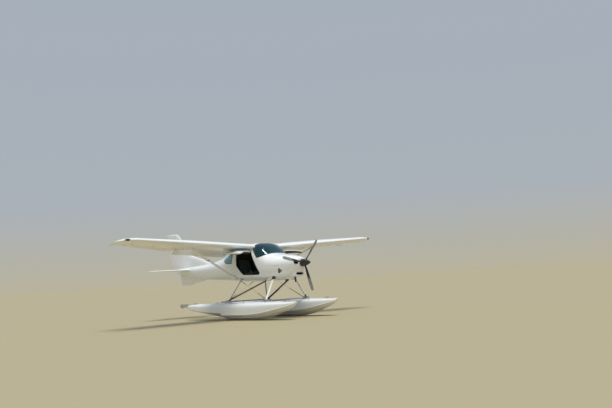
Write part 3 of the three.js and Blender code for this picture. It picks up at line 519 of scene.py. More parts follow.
RUDDER_FOOT_Y, RUDDER_FOOT_Z = 2.698, 1.404
tube = fuselage(TAIL_JOIN_Y + JOIN_GAP, TAIL_END_Y)
cut(tube, fuselage(TAIL_JOIN_Y - 0.01, 2.45, TUBE_WALL))
join(tube,
     block((-0.024, TAIL_END_Y - 0.02, RUDDER_FOOT_Z - 0.034),
           (0.024, RUDDER_FOOT_Y + 0.034, RUDDER_FOOT_Z - 0.014)))
cut(tube, rod((-0.3, 2.425, 1.49), (0.3, 2.425, 1.49), 0.0095))
dress(tube, "tail_tube_skin", white_gelcoat, "tail_cone")

# The cowling is two thin mouldings that meet on a level line, with an oval inlet on either side of the
# spinner, a scoop under the nose for the radiator, an outlet at its back edge and a hole for the nose leg's
# stub.
# y, half width, bottom, top of the scoop
SCOOP = [(-2.75, 0.142, 1.138, 1.228), (-2.715, 0.166, 1.122, 1.244), (-2.6, 0.188, 1.096, 1.262),
         (-2.4, 0.188, 1.076, 1.2)]
SCOOP_WALL = 0.012
INLET_X, INLET_Z, INLET_WIDTH, INLET_HEIGHT, INLET_DEPTH = 0.172, 1.487, 0.096, 0.104, 0.21
PROP_Z = 1.465
SHAFT_HOLE = 0.06
COWL_SPLIT_Z = 1.425
STUB_Y, STUB_RADIUS = -2.57, 0.022
# the three corners of the louvre low on each side
LOUVRE = [(-2.372, 1.352), (-2.338, 1.214), (-2.452, 1.284)]


def squared_ring(x, y, z, half_width, half_height, count=48, power=0.5):
    """A squared oval across the aircraft, round a centre."""
    ring = []
    for i in range(count):
        c, s = cos((i + 0.5) / count * tau), sin((i + 0.5) / count * tau)
        ring.append((x + copysign(abs(c) ** power, c) * half_width, y,
                     z + copysign(abs(s) ** power, s) * half_height))
    return ring


def scoop_body(margin, ahead=0.0):
    """The radiator scoop as a solid, drawn in by a margin and run on past its mouth."""
    rows = SCOOP if not ahead else [(SCOOP[0][0] - ahead, *SCOOP[0][1:]), *SCOOP]
    return loft([squared_ring(0, y, (low + top) / 2, half - margin, (top - low) / 2 - margin)
                 for y, half, low, top in rows])


def inlet_body(side):
    """An oval plug that goes back from the nose."""
    return loft([squared_ring(side * INLET_X, y, INLET_Z, INLET_WIDTH / 2, INLET_HEIGHT / 2, power=0.9)
                 for y in (NOSE_Y - 0.02, NOSE_Y + INLET_DEPTH)])


cowl = fuselage(NOSE_Y, FIREWALL_Y - JOIN_GAP)
join(cowl, scoop_body(0))
cut(cowl, fuselage(NOSE_Y + COWL_WALL, FIREWALL_Y + 0.005, COWL_WALL), scoop_body(SCOOP_WALL, 0.03),
    inlet_body(1), inlet_body(-1), rod((0, NOSE_Y - 0.02, PROP_Z), (0, NOSE_Y + 0.06, PROP_Z), SHAFT_HOLE),
    block((-0.15, -2.26, 1.0), (0.15, -2.1, 1.12)),
    rod((0, STUB_Y, 0.95), (0, STUB_Y, 1.2), STUB_RADIUS + 0.006), across(LOUVRE, 0.006))
lower_cowl = copy_of(cowl)
keep(cowl, block((-0.7, -3.0, COWL_SPLIT_Z + JOIN_GAP), (0.7, -2.0, 1.9)))
keep(lower_cowl, block((-0.7, -3.0, 0.9), (0.7, -2.0, COWL_SPLIT_Z - JOIN_GAP)))
dress(cowl, "upper_cowl_skin", white_gelcoat, "cowl_upper")
dress(lower_cowl, "lower_cowl_skin", white_gelcoat, "cowl_lower")

# The glazing is thin acrylic with a blue-green tint, sunk a hair below the skin round it: the wide
# windshield, a pane in each door and a small window behind each door.
GLASS_SINK, GLASS_THICKNESS = 0.0005, 0.005


def tinted_acrylic(name, pale, deep, clearness):
    """Clear plastic with a blue-green tint, a little haze and fine dust."""
    material, tree, shader = new_material(name)
    dust = add_node(tree, "TexNoise", Vector=object_place(tree), Scale=7.0, Detail=5.0)
    haze = add_node(tree, "MapRange", Value=dust, From_Min=0.3, From_Max=0.8, To_Min=0.02, To_Max=0.07)
    fill(shader, Roughness=haze, Base_Color=mixed_colour(tree, dust, pale, deep),
         Transmission_Weight=clearness, IOR=1.49)
    return material


windshield_tint = tinted_acrylic("windshield_tint", (0.07, 0.38, 0.46), (0.055, 0.31, 0.38), 0.95)
tinted_glazing = tinted_acrylic("tinted_glazing", (0.46, 0.92, 0.98), (0.4, 0.84, 0.92), 0.76)


def pane(start, end, outline, radius):
    """A curved pane of the skin's own shape, within an outline on both sides of the body."""
    skin = skin_layer(start, end, GLASS_SINK, GLASS_SINK + GLASS_THICKNESS)
    return keep(skin, across(drawn_in(outline, FIT_GAP), radius))


def mirror_pair(piece, name, material, node="", body="airframe", sharp=32):
    """A left-hand piece and its mirror image, each on its own side's body and node."""
    twins = piece, mirrored(piece)
    for twin, side in zip(twins, ("left", "right")):
        nodes = [node.format(side)] if node else []
        dress(twin, f"{name}_{side}", material, *nodes, body=body.format(side), sharp=sharp)
    return twins


windshield = pane(FIREWALL_Y, -1.3, WINDSHIELD, 0.02)
dress(windshield, "windshield_pane", windshield_tint, "windshield")
rear_pane = pane(-0.7, TAIL_JOIN_Y, REAR_WINDOW, CORNER_RADIUS)
keep(rear_pane, block((0.1, -0.8, 1.4), (0.9, 0.1, 2.0)))
mirror_pair(rear_pane, "rear_pane", tinted_glazing, "rear_window_{}")

# Each door is one moulding as thick as the cabin's wall, with its pane let in. It hangs from two strap hinges
# whose barrels lie in a groove along the roof's edge, and stands swung up under the wing.
DOOR_WINDOW = [(-1.392, 1.79), (-0.842, 1.776), (-0.842, 1.536), (-1.012, 1.42), (-1.56, 1.47)]
DOOR_ROOM = 0.006
DOOR_OPEN = 88.0


def turned(piece, at, along, angle):
    """Turns a piece about a line, in degrees."""
    swing = Matrix.Rotation(radians(angle), 4, Vector(along))
    piece.data.transform(Matrix.Translation(at) @ swing @ Matrix.Translation(-Vector(at)))
    return piece


half_only = (0.2, -2.0, 1.0), (0.9, -0.6, 2.0)
door = skin_layer(-1.96, -0.4, 0, CABIN_WALL)
keep(door, across(drawn_in(DOORWAY, DOOR_ROOM), 0.036), block(*half_only))
cut(door, across(DOOR_WINDOW, 0.035))
for y in (-1.33, -0.9):
    at = (HINGE_X, y, HINGE_Z)
    barrel = rod((0, -0.03, 0), (0, 0.03, 0), BARREL_RADIUS, at=at)
    strap = block((0, -0.026, -0.03), (0.006, 0.026, 0), at)
    foot = block((-0.006, -0.026, -0.046), (0.006, 0.026, -0.026), at)
    join(door, barrel, strap, foot)
door_glass = pane(-1.96, -0.4, DOOR_WINDOW, 0.035)
keep(door_glass, block(*half_only))
door_hinge = Vector((HINGE_X, -1.1, HINGE_Z))
for piece in (door, door_glass):
    turned(piece, door_hinge, (0, 1, 0), -DOOR_OPEN)
mirror_pair(door, "door_moulding", white_gelcoat, "door_frame_{}", body="door_{}")
mirror_pair(door_glass, "door_pane", tinted_glazing, "door_glass_{}", body="door_{}")

# The wing is a one-piece moulding on each side with a squared root, a tapered outer panel and a drooped,
# curved tip. Its flap and aileron are cut from the trailing edge and turn on pins in a round-nosed cove.
# span place, leading edge y, chord, droop, thickness over chord, extra nose-up degrees
WING = [
    (0.450, -1.490, 1.285, 0.000, 0.140, 0.0),
    (2.450, -1.490, 1.230, 0.000, 0.140, 0.0),
    (4.180, -1.452, 0.842, 0.000, 0.130, 0.0),
    (4.420, -1.418, 0.742, 0.010, 0.120, 2.0),
    (4.540, -1.368, 0.646, 0.027, 0.105, 3.5),
    (4.610, -1.290, 0.520, 0.044, 0.090, 4.0),
    (4.650, -1.170, 0.347, 0.056, 0.070, 4.0),
]
WING_Z, DIHEDRAL, INCIDENCE, WING_CAMBER = 1.965, 0.057, 5.0, 0.028
TRAILING_HALF = 0.0015
FLAP_START, FLAP_END, FLAP_HINGE, FLAP_REST = 0.6, 2.42, 0.75, 23.0
AILERON_START, AILERON_END, AILERON_HINGE, AILERON_REST = 2.466, 4.15, 0.76, 7.5
MOVING_ROOM = 0.006
RIB_POINTS = 34


def row_at(table, at):
    """A table's row at a place, on the straight line between its rows."""
    i = 0
    while i < len(table) - 2 and at > table[i + 1][0]:
        i += 1
    t = (at - table[i][0]) / (table[i + 1][0] - table[i][0])
    return [a + (b - a) * t for a, b in zip(table[i], table[i + 1])]


def half_thickness(s, ratio):
    return 5 * ratio * (0.2969 * sqrt(s) - 0.126 * s - 0.3516 * s ** 2 + 0.2843 * s ** 3 - 0.1 * s ** 4)


def camber_line(s, camber):
    return camber / 0.16 * (0.8 * s - s * s) if s < 0.4 else camber / 0.36 * (0.2 + 0.8 * s - s * s)


def rib(point_at, front, chord, ratio, camber=0.0, tilt=0.0, points=RIB_POINTS):
    """An aerofoil ring in the plane of a rib, turned nose-up."""
    shares = [(1 - cos(i / points * pi)) / 2 for i in range(points + 1)]
    c, n = cos(radians(tilt)), sin(radians(tilt))

    def spot(s, side):
        up = (camber_line(s, camber) + side * (half_thickness(s, ratio) + TRAILING_HALF)) * chord
        return point_at(front + s * chord * c + up * n, up * c - s * chord * n)

    return [spot(s, 1) for s in shares] + [spot(s, -1) for s in reversed(shares)]


def wing_ring(x):
    _, front, chord, droop, ratio, twist = row_at(WING, x)
    z = WING_Z + DIHEDRAL * x - droop
    return rib(lambda y, up: (x, y, z + up), front, chord, ratio, WING_CAMBER, INCIDENCE + twist)


def wing_spot(x, share):
    """The middle of the wing at a share of its chord, with its half thickness there."""
    _, front, chord, droop, ratio, _ = row_at(WING, x)
    z = WING_Z + DIHEDRAL * x - droop
    at = Vector((x, front + share * chord * cos(radians(INCIDENCE)),
                 z + camber_line(share, WING_CAMBER) * chord - share * chord * sin(radians(INCIDENCE))))
    return at, (half_thickness(share, ratio) + TRAILING_HALF) * chord * 0.96


def plan_prism(outline, low, high):
    """An outline of x and y points, run up from one height to another."""
    return loft([[(*p, z) for p in outline] for z in (low, high)])


def hinged(body, inner, outer, start, end, low, high):
    """Cuts a hinged surface from the back of a wing or tail, and gives its hinge point and way too."""
    (inner_at, inner_radius), (outer_at, outer_radius) = inner, outer
    along = (outer_at - inner_at).normalized()

    def back(grow):
        return plan_prism([(start - grow, inner_at.y), (end + grow, outer_at.y),
                           (end + grow, outer_at.y + 0.9), (start - grow, inner_at.y + 0.9)], low, high)

    def nose(grow):
        bar = rod(inner_at - along * 0.02, outer_at + along * 0.02, inner_radius + grow,
                  outer_radius + grow, 48)
        return keep(bar, block((start - grow, -3, low), (end + grow, 4, high)))

    surface = keep(copy_of(body), back(0))
    slab = MOVING_ROOM - 0.0006
    pins = []
    for pin_at, way in ((inner_at, along), (outer_at, -along)):
        pin = rod(pin_at + way * 0.01, pin_at - way * 0.0108, 0.005)
        pins.append(keep(pin, block((start - slab, -3, low), (end + slab, 4, high))))
    join(surface, nose(0), *pins)
    cut(body, back(MOVING_ROOM), nose(MOVING_ROOM))
    return surface, inner_at, along


stations = {row[0] for row in WING} | {WING[0][0] + k * 0.1 for k in range(1, 38)}
stations |= {4.24, 4.3, 4.36, 4.45, 4.48, 4.51, 4.565, 4.59, 4.625, 4.64}
wing_rings = [wing_ring(x) for x in sorted(stations)]
wing = loft(wing_rings)


def from_wing(start, end, share):
    return hinged(wing, wing_spot(start, share), wing_spot(end, share), start, end, 1.5, 2.7)


flap, flap_at, flap_along = from_wing(FLAP_START, FLAP_END, FLAP_HINGE)
aileron, aileron_at, aileron_along = from_wing(AILERON_START, AILERON_END, AILERON_HINGE)
cut(wing, fuselage(FIREWALL_Y, 0.6))
turned(flap, flap_at, flap_along, -FLAP_REST)
turned(aileron, aileron_at, aileron_along, -AILERON_REST)
LIGHT_X, LIGHT_FRONT, LIGHT_BACK, LIGHT_SLANT, LIGHT_DROP = 4.405, -1.49, -1.35, 0.095, 0.004
light_z = WING_Z + DIHEDRAL * LIGHT_X - row_at(WING, LIGHT_X)[3] - LIGHT_DROP


def tip_light_space(margin):
    """The hollow in the tip's front corner that the light fills."""
    front, back = (LIGHT_X, LIGHT_FRONT, light_z), (LIGHT_X + LIGHT_SLANT, LIGHT_BACK - margin, light_z)
    return rod(front, back, 0.046 - margin, 0.06 - margin, 36)


lens = keep(copy_of(wing), tip_light_space(FIT_GAP))
cut(wing, tip_light_space(0))
mirror_pair(wing, "wing_skin", white_gelcoat, "wing_{}", sharp=28)
mirror_pair(flap, "flap_skin", white_gelcoat, "flap_{}", body="flap_{}", sharp=28)
mirror_pair(aileron, "aileron_skin", white_gelcoat, "aileron_{}", body="aileron_{}", sharp=28)


def clear_lens():
    """Clear plastic with a faint haze."""
    material, tree, shader = new_material("lamp_lens")
    haze = add_node(tree, "TexNoise", Vector=object_place(tree), Scale=40.0, Detail=3.0)
    fill(shader, Roughness=ranged(tree, haze, 0.02, 0.08), Transmission_Weight=0.85,
         Base_Color=mixed_colour(tree, haze, (0.93, 0.95, 0.96), (0.86, 0.9, 0.92)))
    return material


lamp_lens = clear_lens()
mirror_pair(lens, "tip_lens", lamp_lens, "wing_tip_light_{}")

# The wing struts are streamlined tubes of white composite, from a lug on the body's lower side to a lug under
# the wing.
STRUT_LOW, STRUT_HIGH = Vector((0.455, -0.575, 1.165)), Vector((2.4, -1.04, 2.029))
STRUT_CHORD, STRUT_THICKNESS = 0.112, 0.042


def streamlined(start, end, chord, thickness, sides=40):
    """An oval bar with its long way along the airflow."""
    start, end = Vector(start), Vector(end)
    along = (end - start).normalized()
    wide = Vector((0, 1, 0)) - along * along.y
    wide.normalize()
    thin = along.cross(wide)
    oval = [wide * c * chord / 2 + thin * s * thickness / 2 for c, s in circle(sides)]
    return loft([[centre + p for p in oval] for centre in (start, end)])


wing_strut = streamlined(STRUT_LOW, STRUT_HIGH, STRUT_CHORD, STRUT_THICKNESS)
join(wing_strut, block((0.38, -0.64, 1.11), (0.52, -0.51, 1.18)))
cut(wing_strut, fuselage(FIREWALL_Y, 0.6), loft(wing_rings[:30]))
mirror_pair(wing_strut, "wing_stay", white_gelcoat, "wing_strut_{}")

# The fin is moulded with a long root fillet, and the rudder behind it has a horn over the fin's top. A
# shallow fin hangs under the tail tube.
# height, front, back, thickness
FIN = [(1.5, 1.01, 2.945, 0.084), (1.64, 1.04, 3.052, 0.088), (1.7, 1.235, 3.078, 0.088),
       (1.8, 1.5, 3.108, 0.086), (1.88, 1.82, 3.13, 0.074), (1.95, 2.062, 3.15, 0.068),
       (2.25, 2.335, 3.235, 0.066), (2.52, 2.58, 3.318, 0.054), (2.6, 2.668, 3.344, 0.048),
       (2.64, 2.752, 3.354, 0.036), (2.652, 2.83, 3.36, 0.018)]
RUDDER_TOP_Y, RUDDER_TOP_Z = 3.062, 2.48
HORN_FRONT, HORN_BOTTOM = 2.845, 2.486
RUDDER_NOSE_RADIUS, RUDDER_ROOM = 0.019, 0.008


def fin_ring(z, front, back, thickness):
    return rib(lambda y, side: (side, y, z), front, back - front, thickness / (back - front))


def hinge_y(z):
    """Where the rudder's hinge line is at a height."""
    slant = (RUDDER_TOP_Y - RUDDER_FOOT_Y) / (RUDDER_TOP_Z - RUDDER_FOOT_Z)
    return RUDDER_FOOT_Y + (z - RUDDER_FOOT_Z) * slant


def behind_hinge(gap):
    low = HORN_BOTTOM - 2 * gap
    front = HORN_FRONT - gap
    outline = [(hinge_y(1.3), 1.3 - gap), (3.6, 1.3 - gap), (3.6, 2.8), (front, 2.8), (front, low),
               (hinge_y(low), low)]
    return side_prism(outline, -0.2, 0.2)


def rudder_nose(grow):
    return rod((0, hinge_y(1.38), 1.38), (0, hinge_y(2.5), 2.5), RUDDER_NOSE_RADIUS + grow, sides=40)


fin = loft([fin_ring(RUDDER_FOOT_Z, 0.98, 2.902, 0.084)] + [fin_ring(*row) for row in FIN])
rudder = keep(copy_of(fin), behind_hinge(0))
join(rudder, rudder_nose(0))
keep(rudder, block((-0.2, 2.0, RUDDER_FOOT_Z), (0.2, 3.6, 2.8)))
join(rudder, rod((0, hinge_y(1.424), 1.424), (0, hinge_y(1.3905), 1.3905), 0.0072))
cut(fin, behind_hinge(RUDDER_ROOM), rudder_nose(RUDDER_ROOM), fuselage(0.6, TAIL_END_Y))
keep(fin, block((-0.3, 0.9, 1.5), (0.3, 3.3, 2.8)))
dress(fin, "fin_skin", white_gelcoat, "fin", sharp=28)
dress(rudder, "rudder_skin", white_gelcoat, "rudder", body="rudder", sharp=28)
VENTRAL = [(1.02, 2.07, 2.56, 0.03), (1.062, 1.98, 2.575, 0.044), (1.15, 1.3, 2.6, 0.06),
           (1.29, 1.06, 2.62, 0.066), (1.4, 1.06, 2.63, 0.066)]
ventral = loft([fin_ring(*row) for row in VENTRAL])
cut(ventral, fuselage(0.6, TAIL_END_Y))
dress(ventral, "ventral_skin", white_gelcoat, "ventral_fin", sharp=28)

# The tailplane is fixed on either side of the tube, and the elevator's halves turn together on a tube
# through it.
# span place, front, back, thickness over chord
TAILPLANE = [(0.0, 1.948, 2.702, 0.085), (1.18, 2.14, 2.59, 0.085), (1.31, 2.176, 2.572, 0.085),
             (1.356, 2.23, 2.55, 0.05), (1.38, 2.3, 2.52, 0.05)]
TAILPLANE_Z, ELEVATOR_Y, ELEVATOR_START, ELEVATOR_END = 1.49, 2.425, 0.15, 1.3


def tail_ring(x):
    _, front, back, ratio = row_at(TAILPLANE, x)
    return rib(lambda y, up: (x, y, TAILPLANE_Z + up), front, back - front, ratio)


stations = {row[0] for row in TAILPLANE} | {0.1 * k for k in range(1, 12)} | {1.335, 1.368}
tailplane = loft([tail_ring(x) for x in sorted(stations)])
ends = [(Vector((x, ELEVATOR_Y, TAILPLANE_Z)), r)
        for x, r in ((ELEVATOR_START, 0.021), (ELEVATOR_END, 0.011))]
elevator, _, _ = hinged(tailplane, *ends, ELEVATOR_START, ELEVATOR_END, 1.3, 1.7)
cut(tailplane, block((-0.01, ELEVATOR_Y - 0.02, 1.3), (ELEVATOR_START + 0.001, 3.0, 1.7)),
    fuselage(0.6, TAIL_END_Y))
mirror_pair(tailplane, "tailplane_skin", white_gelcoat, "tailplane_{}", sharp=28)
elevator_twin = mirrored(elevator)
reach = ELEVATOR_START + 0.004
join(elevator, rod((-reach, 0, 0), (reach, 0, 0), 0.009, at=(0, ELEVATOR_Y, TAILPLANE_Z)), elevator_twin)
dress(elevator, "elevator_skin", white_gelcoat, "elevator", body="elevator", sharp=28)

# The floats are hard-chined hulls with a crowned deck, a step halfway along the bottom and an upswept stern,
# moulded in glass fibre with a cream rubber bumper round each bow.
FLOAT_X, DECK_Z, STEP_Y, STERN_Y = 0.78, 0.478, -0.64, 1.22
# y, half beam, deck, chine, keel
FOREBODY = [(-3.36, 0.014, 0.442, 0.428, 0.416), (-3.3, 0.078, 0.452, 0.402, 0.366),
            (-3.16, 0.158, 0.462, 0.36, 0.298), (-2.96, 0.218, 0.47, 0.318, 0.228),
            (-2.74, 0.258, 0.476, 0.276, 0.16), (-2.48, 0.284, 0.481, 0.232, 0.086),
            (-2.2, 0.297, 0.484, 0.196, 0.034), (-1.9, 0.303, 0.484, 0.172, 0.006),
            (-1.6, 0.305, 0.482, 0.16, 0.0), (-0.64, 0.305, 0.478, 0.15, 0.0)]
AFTERBODY = [(-0.7, 0.29, 0.478, 0.196, 0.056), (-0.64, 0.302, 0.478, 0.198, 0.058),
             (-0.2, 0.296, 0.473, 0.222, 0.104), (0.3, 0.262, 0.466, 0.258, 0.164),
             (0.8, 0.196, 0.452, 0.3, 0.232), (1.12, 0.118, 0.43, 0.334, 0.284),
             (1.22, 0.056, 0.404, 0.352, 0.318)]
HULL_STEP = 0.06


def bent(a, corner, b, steps=5):
    """Points along a rounded corner."""
    return [tuple(p * (1 - t) ** 2 + q * 2 * t * (1 - t) + r * t * t for p, q, r in zip(a, corner, b))
            for t in (k / steps for k in range(steps + 1))]


def float_ring(y, table):
    half, deck, chine, keel = (smooth(table, c, y) for c in range(1, 5))
    crown = (deck - chine) * 0.12
    edge = bent((half * 0.8, deck - crown * 0.9), (half * 0.985, deck - crown * 1.6),
                (half, deck - crown * 4.2))
    outline = [(0, deck), (half * 0.45, deck - crown * 0.3), *edge, (half, chine + (deck - chine) * 0.3),
               (half, chine), (half * 0.75, chine - (chine - keel) * 0.28),
               (half * 0.5, keel + (chine - keel) * 0.44), (half * 0.06, keel)]
    return [(FLOAT_X + x, y, z) for x, z in outline] + [(FLOAT_X - x, y, z) for x, z in reversed(outline[1:])]


def hull_part(table):
    stations = sorted(even_stations(table[0][0], table[-1][0], HULL_STEP))
    return loft([float_ring(y, table) for y in stations])


hull = hull_part(FOREBODY)
join(hull, hull_part(AFTERBODY))
cut(hull, block((0, -3.4, 0.3), (2.0, -3.334, 0.52)))
bumper_rings = []
for k in range(9):
    y = -3.36 + 0.11 * k / 8
    half = 0.01 + 0.09 * (k / 8) ** 0.75
    bumper_rings.append([(FLOAT_X + c * half, y, 0.446 + s * 0.022) for c, s in circle(24)])
bumper = loft(bumper_rings)
cut(bumper, copy_of(hull))


def soft_rubber(name, colour, salted):
    """Moulded rubber with a bloom of salt."""
    material, tree, shader, skin = dusty(name, 6.0, colour, salted)
    fill(shader, Normal=bumped(tree, 0.3, 0.002, skin["Height"]), Roughness=0.72)
    return material


black_rubber = soft_rubber("black_rubber", (0.022, 0.022, 0.024), (0.1, 0.1, 0.107))
cream_rubber = soft_rubber("cream_rubber", (0.76, 0.74, 0.62), (0.84, 0.83, 0.76))
float_gelcoat = gelcoat("float_gelcoat", low=0.02, high=0.34, low_amount=0.22, streak_amount=0.06)
mirror_pair(hull, "float_hull", float_gelcoat, "float_{}", sharp=24)
mirror_pair(bumper, "bow_fender", cream_rubber, "bow_bumper_{}")

# Two oval alloy bars hold the floats apart. Each ends in a deck shoe, a base plate with a raised lug that
# takes the feet of the struts on their bolts.
FRONT_FOOT, REAR_FOOT = Vector((0.76, -2.185, DECK_Z + 0.022)), Vector((0.762, -0.57, DECK_Z + 0.022))
BAR_CHORD, BAR_THICKNESS = 0.07, 0.034
SHOE_INBOARD, SHOE_OUTBOARD, SHOE_HALF = 0.09, 0.052, 0.096
LUG_INBOARD, LUG_OUTBOARD, LUG_HALF, LUG_RISE = 0.076, 0.026, 0.078, 0.04


def brushed_metal(name, colour, rough=0.34, grain=60.0):
    """Bare metal with a brushed grain and dull spots."""
    material, tree, shader, _ = dusty(name, 5.0, colour, shaded(colour, 0.55), (rough, rough + 0.3))
    stretched = add_node(tree, "Mapping", Vector=object_place(tree), Scale=(grain * 0.1, grain * 0.1, grain))
    lines = add_node(tree, "TexNoise", Vector=stretched, Scale=4.0, Detail=4.0)
    fill(shader, Normal=bumped(tree, 0.15, 0.001, lines), Metallic=1.0)
    return material


bare_alloy = brushed_metal("bare_alloy", (0.62, 0.63, 0.64))


def softened(piece, width, segments=2, limit=40):
    """Rounds the sharp edges of a plain solid."""
    bevel = piece.modifiers.new("edge", "BEVEL")
    bevel.width, bevel.segments = width, segments
    bevel.limit_method, bevel.angle_limit = "ANGLE", radians(limit)
    return settled(piece)


def deck_shoe(foot):
    """The base plate and lug of one shoe."""
    plate = block((-SHOE_INBOARD, -SHOE_HALF, -0.052), (SHOE_OUTBOARD, SHOE_HALF, -0.008), foot)
    lug = block((-LUG_INBOARD, -LUG_HALF, -0.012), (LUG_OUTBOARD, LUG_HALF, LUG_RISE), foot)
    return join(softened(plate, 0.004), softened(lug, 0.01))


for label, foot in (("front", FRONT_FOOT), ("rear", REAR_FOOT)):
    spreader = deck_shoe(foot)
    join(spreader, streamlined((-0.001, foot.y, foot.z), foot, BAR_CHORD, BAR_THICKNESS))
    lifted_hull = loft([float_ring(y, FOREBODY) for y in (-2.6, -2.4, -2.2, -2.0, -1.8)] if label == "front"
                       else [float_ring(y, AFTERBODY) for y in (-0.7, -0.66, -0.6, -0.5, -0.35, -0.2)])
    lifted_hull.data.transform(Matrix.Translation((0, 0, 0.0003)))
    cut(spreader, lifted_hull)
    join(spreader, mirrored(spreader))
    dress(spreader, f"spreader_{label}_bar", bare_alloy, f"spreader_bar_{label}")

# The float struts run from pads under the body to the deck shoes: a white streamlined leg in front, a long
# black diagonal from beside it back to the rear shoe, and a slim alloy leg at the rear.

# satin black paint, duller and greyer where dust lies
black_paint = dusty("black_paint", 4.0, (0.018, 0.018, 0.019), (0.085, 0.082, 0.075), (0.32, 0.6))[0]
# name, pad on the body, run into the body, place in the shoe, chord, thickness, finish
STRUTS = [("front_strut", (0.38, -2.12, 1.13), 0.09, FRONT_FOOT + Vector((0, 0.01, 0.012)), 0.074, 0.034,
           white_gelcoat),
          ("diagonal_strut", (0.372, -2.056, 1.12), 0.02, REAR_FOOT + Vector((0.005, 0.01, 0.012)), 0.038,
           0.034, black_paint),
          ("rear_strut", (0.43, -0.85, 1.12), 0.09, REAR_FOOT + Vector((-0.037, -0.012, 0.012)), 0.044,
           0.026, bare_alloy)]
strut_lines = []
for name, pad, run_in, low, chord, thickness, material in STRUTS:
    drop = (low - Vector(pad)).normalized()
    strut_lines.append((Vector(pad), drop))
    leg = streamlined(Vector(pad) - drop * run_in, low, chord, thickness)
    cut(leg, fuselage(FIREWALL_Y - 0.4, 0.0), deck_shoe(FRONT_FOOT), deck_shoe(REAR_FOOT))
    mirror_pair(leg, name.replace("strut", "leg"), material, name + "_{}")

# A small rudder blade on a stern bracket steers each float on the water. It is parked swung up, flat behind
# the stern, and turns on its post under a cross tiller.
WATER_RUDDER_Y, WATER_RUDDER_Z = STERN_Y + 0.062, 0.372
post_at = (FLOAT_X, WATER_RUDDER_Y, WATER_RUDDER_Z)
bracket = softened(block((-0.024, -0.122, -0.006), (0.024, 0.024, 0.01), post_at), 0.003)
stern = loft([float_ring(y, AFTERBODY) for y in (0.8, 0.9, 1.0, 1.06, 1.12, 1.16, 1.19, 1.22)])
cut(bracket, copy_of(stern), stern)
post = rod((0, 0, 0.0103), (0, 0, 0.096), 0.016, at=post_at)
tiller = softened(block((-0.096, -0.012, 0.07), (0.096, 0.012, 0.08), post_at), 0.003)
BLADE_OUTLINE = [(-0.006, 0.03), (0.04, 0.084), (0.33, 0.092), (0.372, 0.06), (0.35, -0.006),
                 (0.25, -0.034), (0.06, 0.014)]
blade_outline = rounded([(WATER_RUDDER_Y + a, WATER_RUDDER_Z + b) for a, b in BLADE_OUTLINE], 0.03)
water_blade = softened(side_prism(blade_outline, FLOAT_X - 0.005, FLOAT_X + 0.005), 0.002)
join(post, tiller, water_blade)
cut(post, block((-0.2, -0.2, -0.06), (0.2, 0.025, 0.0103), post_at))
mirror_pair(bracket, "stern_bracket", black_paint, "rudder_bracket_{}")
mirror_pair(post, "water_blade", bare_alloy, "water_rudder_{}", body="water_rudder_{}")

# The propeller has three composite blades, black at the root and grey paint outboard, gripped in a metal hub
# under a dark bronze spinner. The hub's shaft runs back to the engine.
PROP_Y, SPINNER_BACK_Y = -2.944, -2.868
HUB_RADIUS, HUB_FRONT, HUB_BACK, ENGINE_FRONT_Y, HUB_GAP = 0.054, -3.006, -2.876, -2.6, 0.0003
# radius, distance back from the tip
SPINNER = [(0.0005, 0.0), (0.008, 0.003), (0.02, 0.016), (0.04, 0.046), (0.06, 0.098), (0.076, 0.15),
           (0.09, 0.204), (0.1, 0.262), (0.1, 0.309)]
# radius, chord, thickness, pitch in degrees
BLADE = [(0.04, 0.052, 0.05, 44), (0.13, 0.05, 0.04, 42), (0.2, 0.058, 0.026, 37), (0.3, 0.068, 0.018, 29),
         (0.43, 0.08, 0.013, 22), (0.6, 0.092, 0.01, 17), (0.74, 0.088, 0.008, 14),
         (0.785, 0.066, 0.007, 13), (0.8, 0.03, 0.005, 13)]
BLADE_ANGLE, BLADE_GREY_FROM, BLADE_GREY_TO = 41.0, 0.38, 0.52


def blade_solid(turn):
    """One blade, drawn along the way that it points."""
    rings = []
    radii = sorted({round(0.04 + 0.02 * k, 3) for k in range(38)} | {0.785, 0.793, 0.8})
    for r in radii:
        chord, thickness, pitch = (smooth(BLADE, c, r) for c in (1, 2, 3))
        ring = []
        tilt, lean = cos(radians(pitch)), sin(radians(pitch))
        for c, s in circle(28):
            u, v = c * chord / 2, s * thickness / 2
            along, fore = u * tilt - v * lean, u * lean + v * tilt
            ring.append((r * sin(turn) + along * cos(turn), PROP_Y + fore,
                         PROP_Z + r * cos(turn) - along * sin(turn)))
        rings.append(ring)
    return loft(rings)


def on_axis(start, end, radius):
    return rod((0, start, PROP_Z), (0, end, PROP_Z), radius, sides=64)


def spinner_finish():
    """Dark bronze paint, satin, with grime."""
    clean, dirty = (0.03, 0.025, 0.021), (0.068, 0.057, 0.047)
    material, _, shader, _ = dusty("spinner_bronze", 6.0, clean, dirty, (0.26, 0.42))
    fill(shader, Metallic=0.55, Coat_Weight=0.3)
    return material


spinner_bronze = spinner_finish()
engine_metal = brushed_metal("engine_metal", (0.16, 0.15, 0.145), rough=0.5, grain=20.0)


def blade_finish():
    """Satin black composite, painted a pale grey that fades in from about half way out."""
    clean, dirty = (0.014, 0.014, 0.015), (0.045, 0.044, 0.042)
    material, tree, shader, skin = dusty("blade_black", 5.0, clean, dirty)
    black = shader.inputs["Base Color"].links[0].from_socket
    grey = mixed_colour(tree, skin["Grime"], (0.285, 0.3, 0.295), (0.2, 0.205, 0.2))
    centred = add_node(tree, "Mapping", Vector=object_place(tree), Location=(0, 0, -PROP_Z), Scale=(1, 0, 1))
    reach = add_node(tree, "VectorMath", {"operation": "LENGTH"}, n0=centred).outputs["Value"]
    outboard = add_node(tree, "MapRange", {"interpolation_type": "SMOOTHSTEP"}, Value=reach,
                        From_Min=BLADE_GREY_FROM, From_Max=BLADE_GREY_TO)
    fill(shader, Base_Color=mixed_colour(tree, outboard, black, grey), Roughness=0.38)
    return material


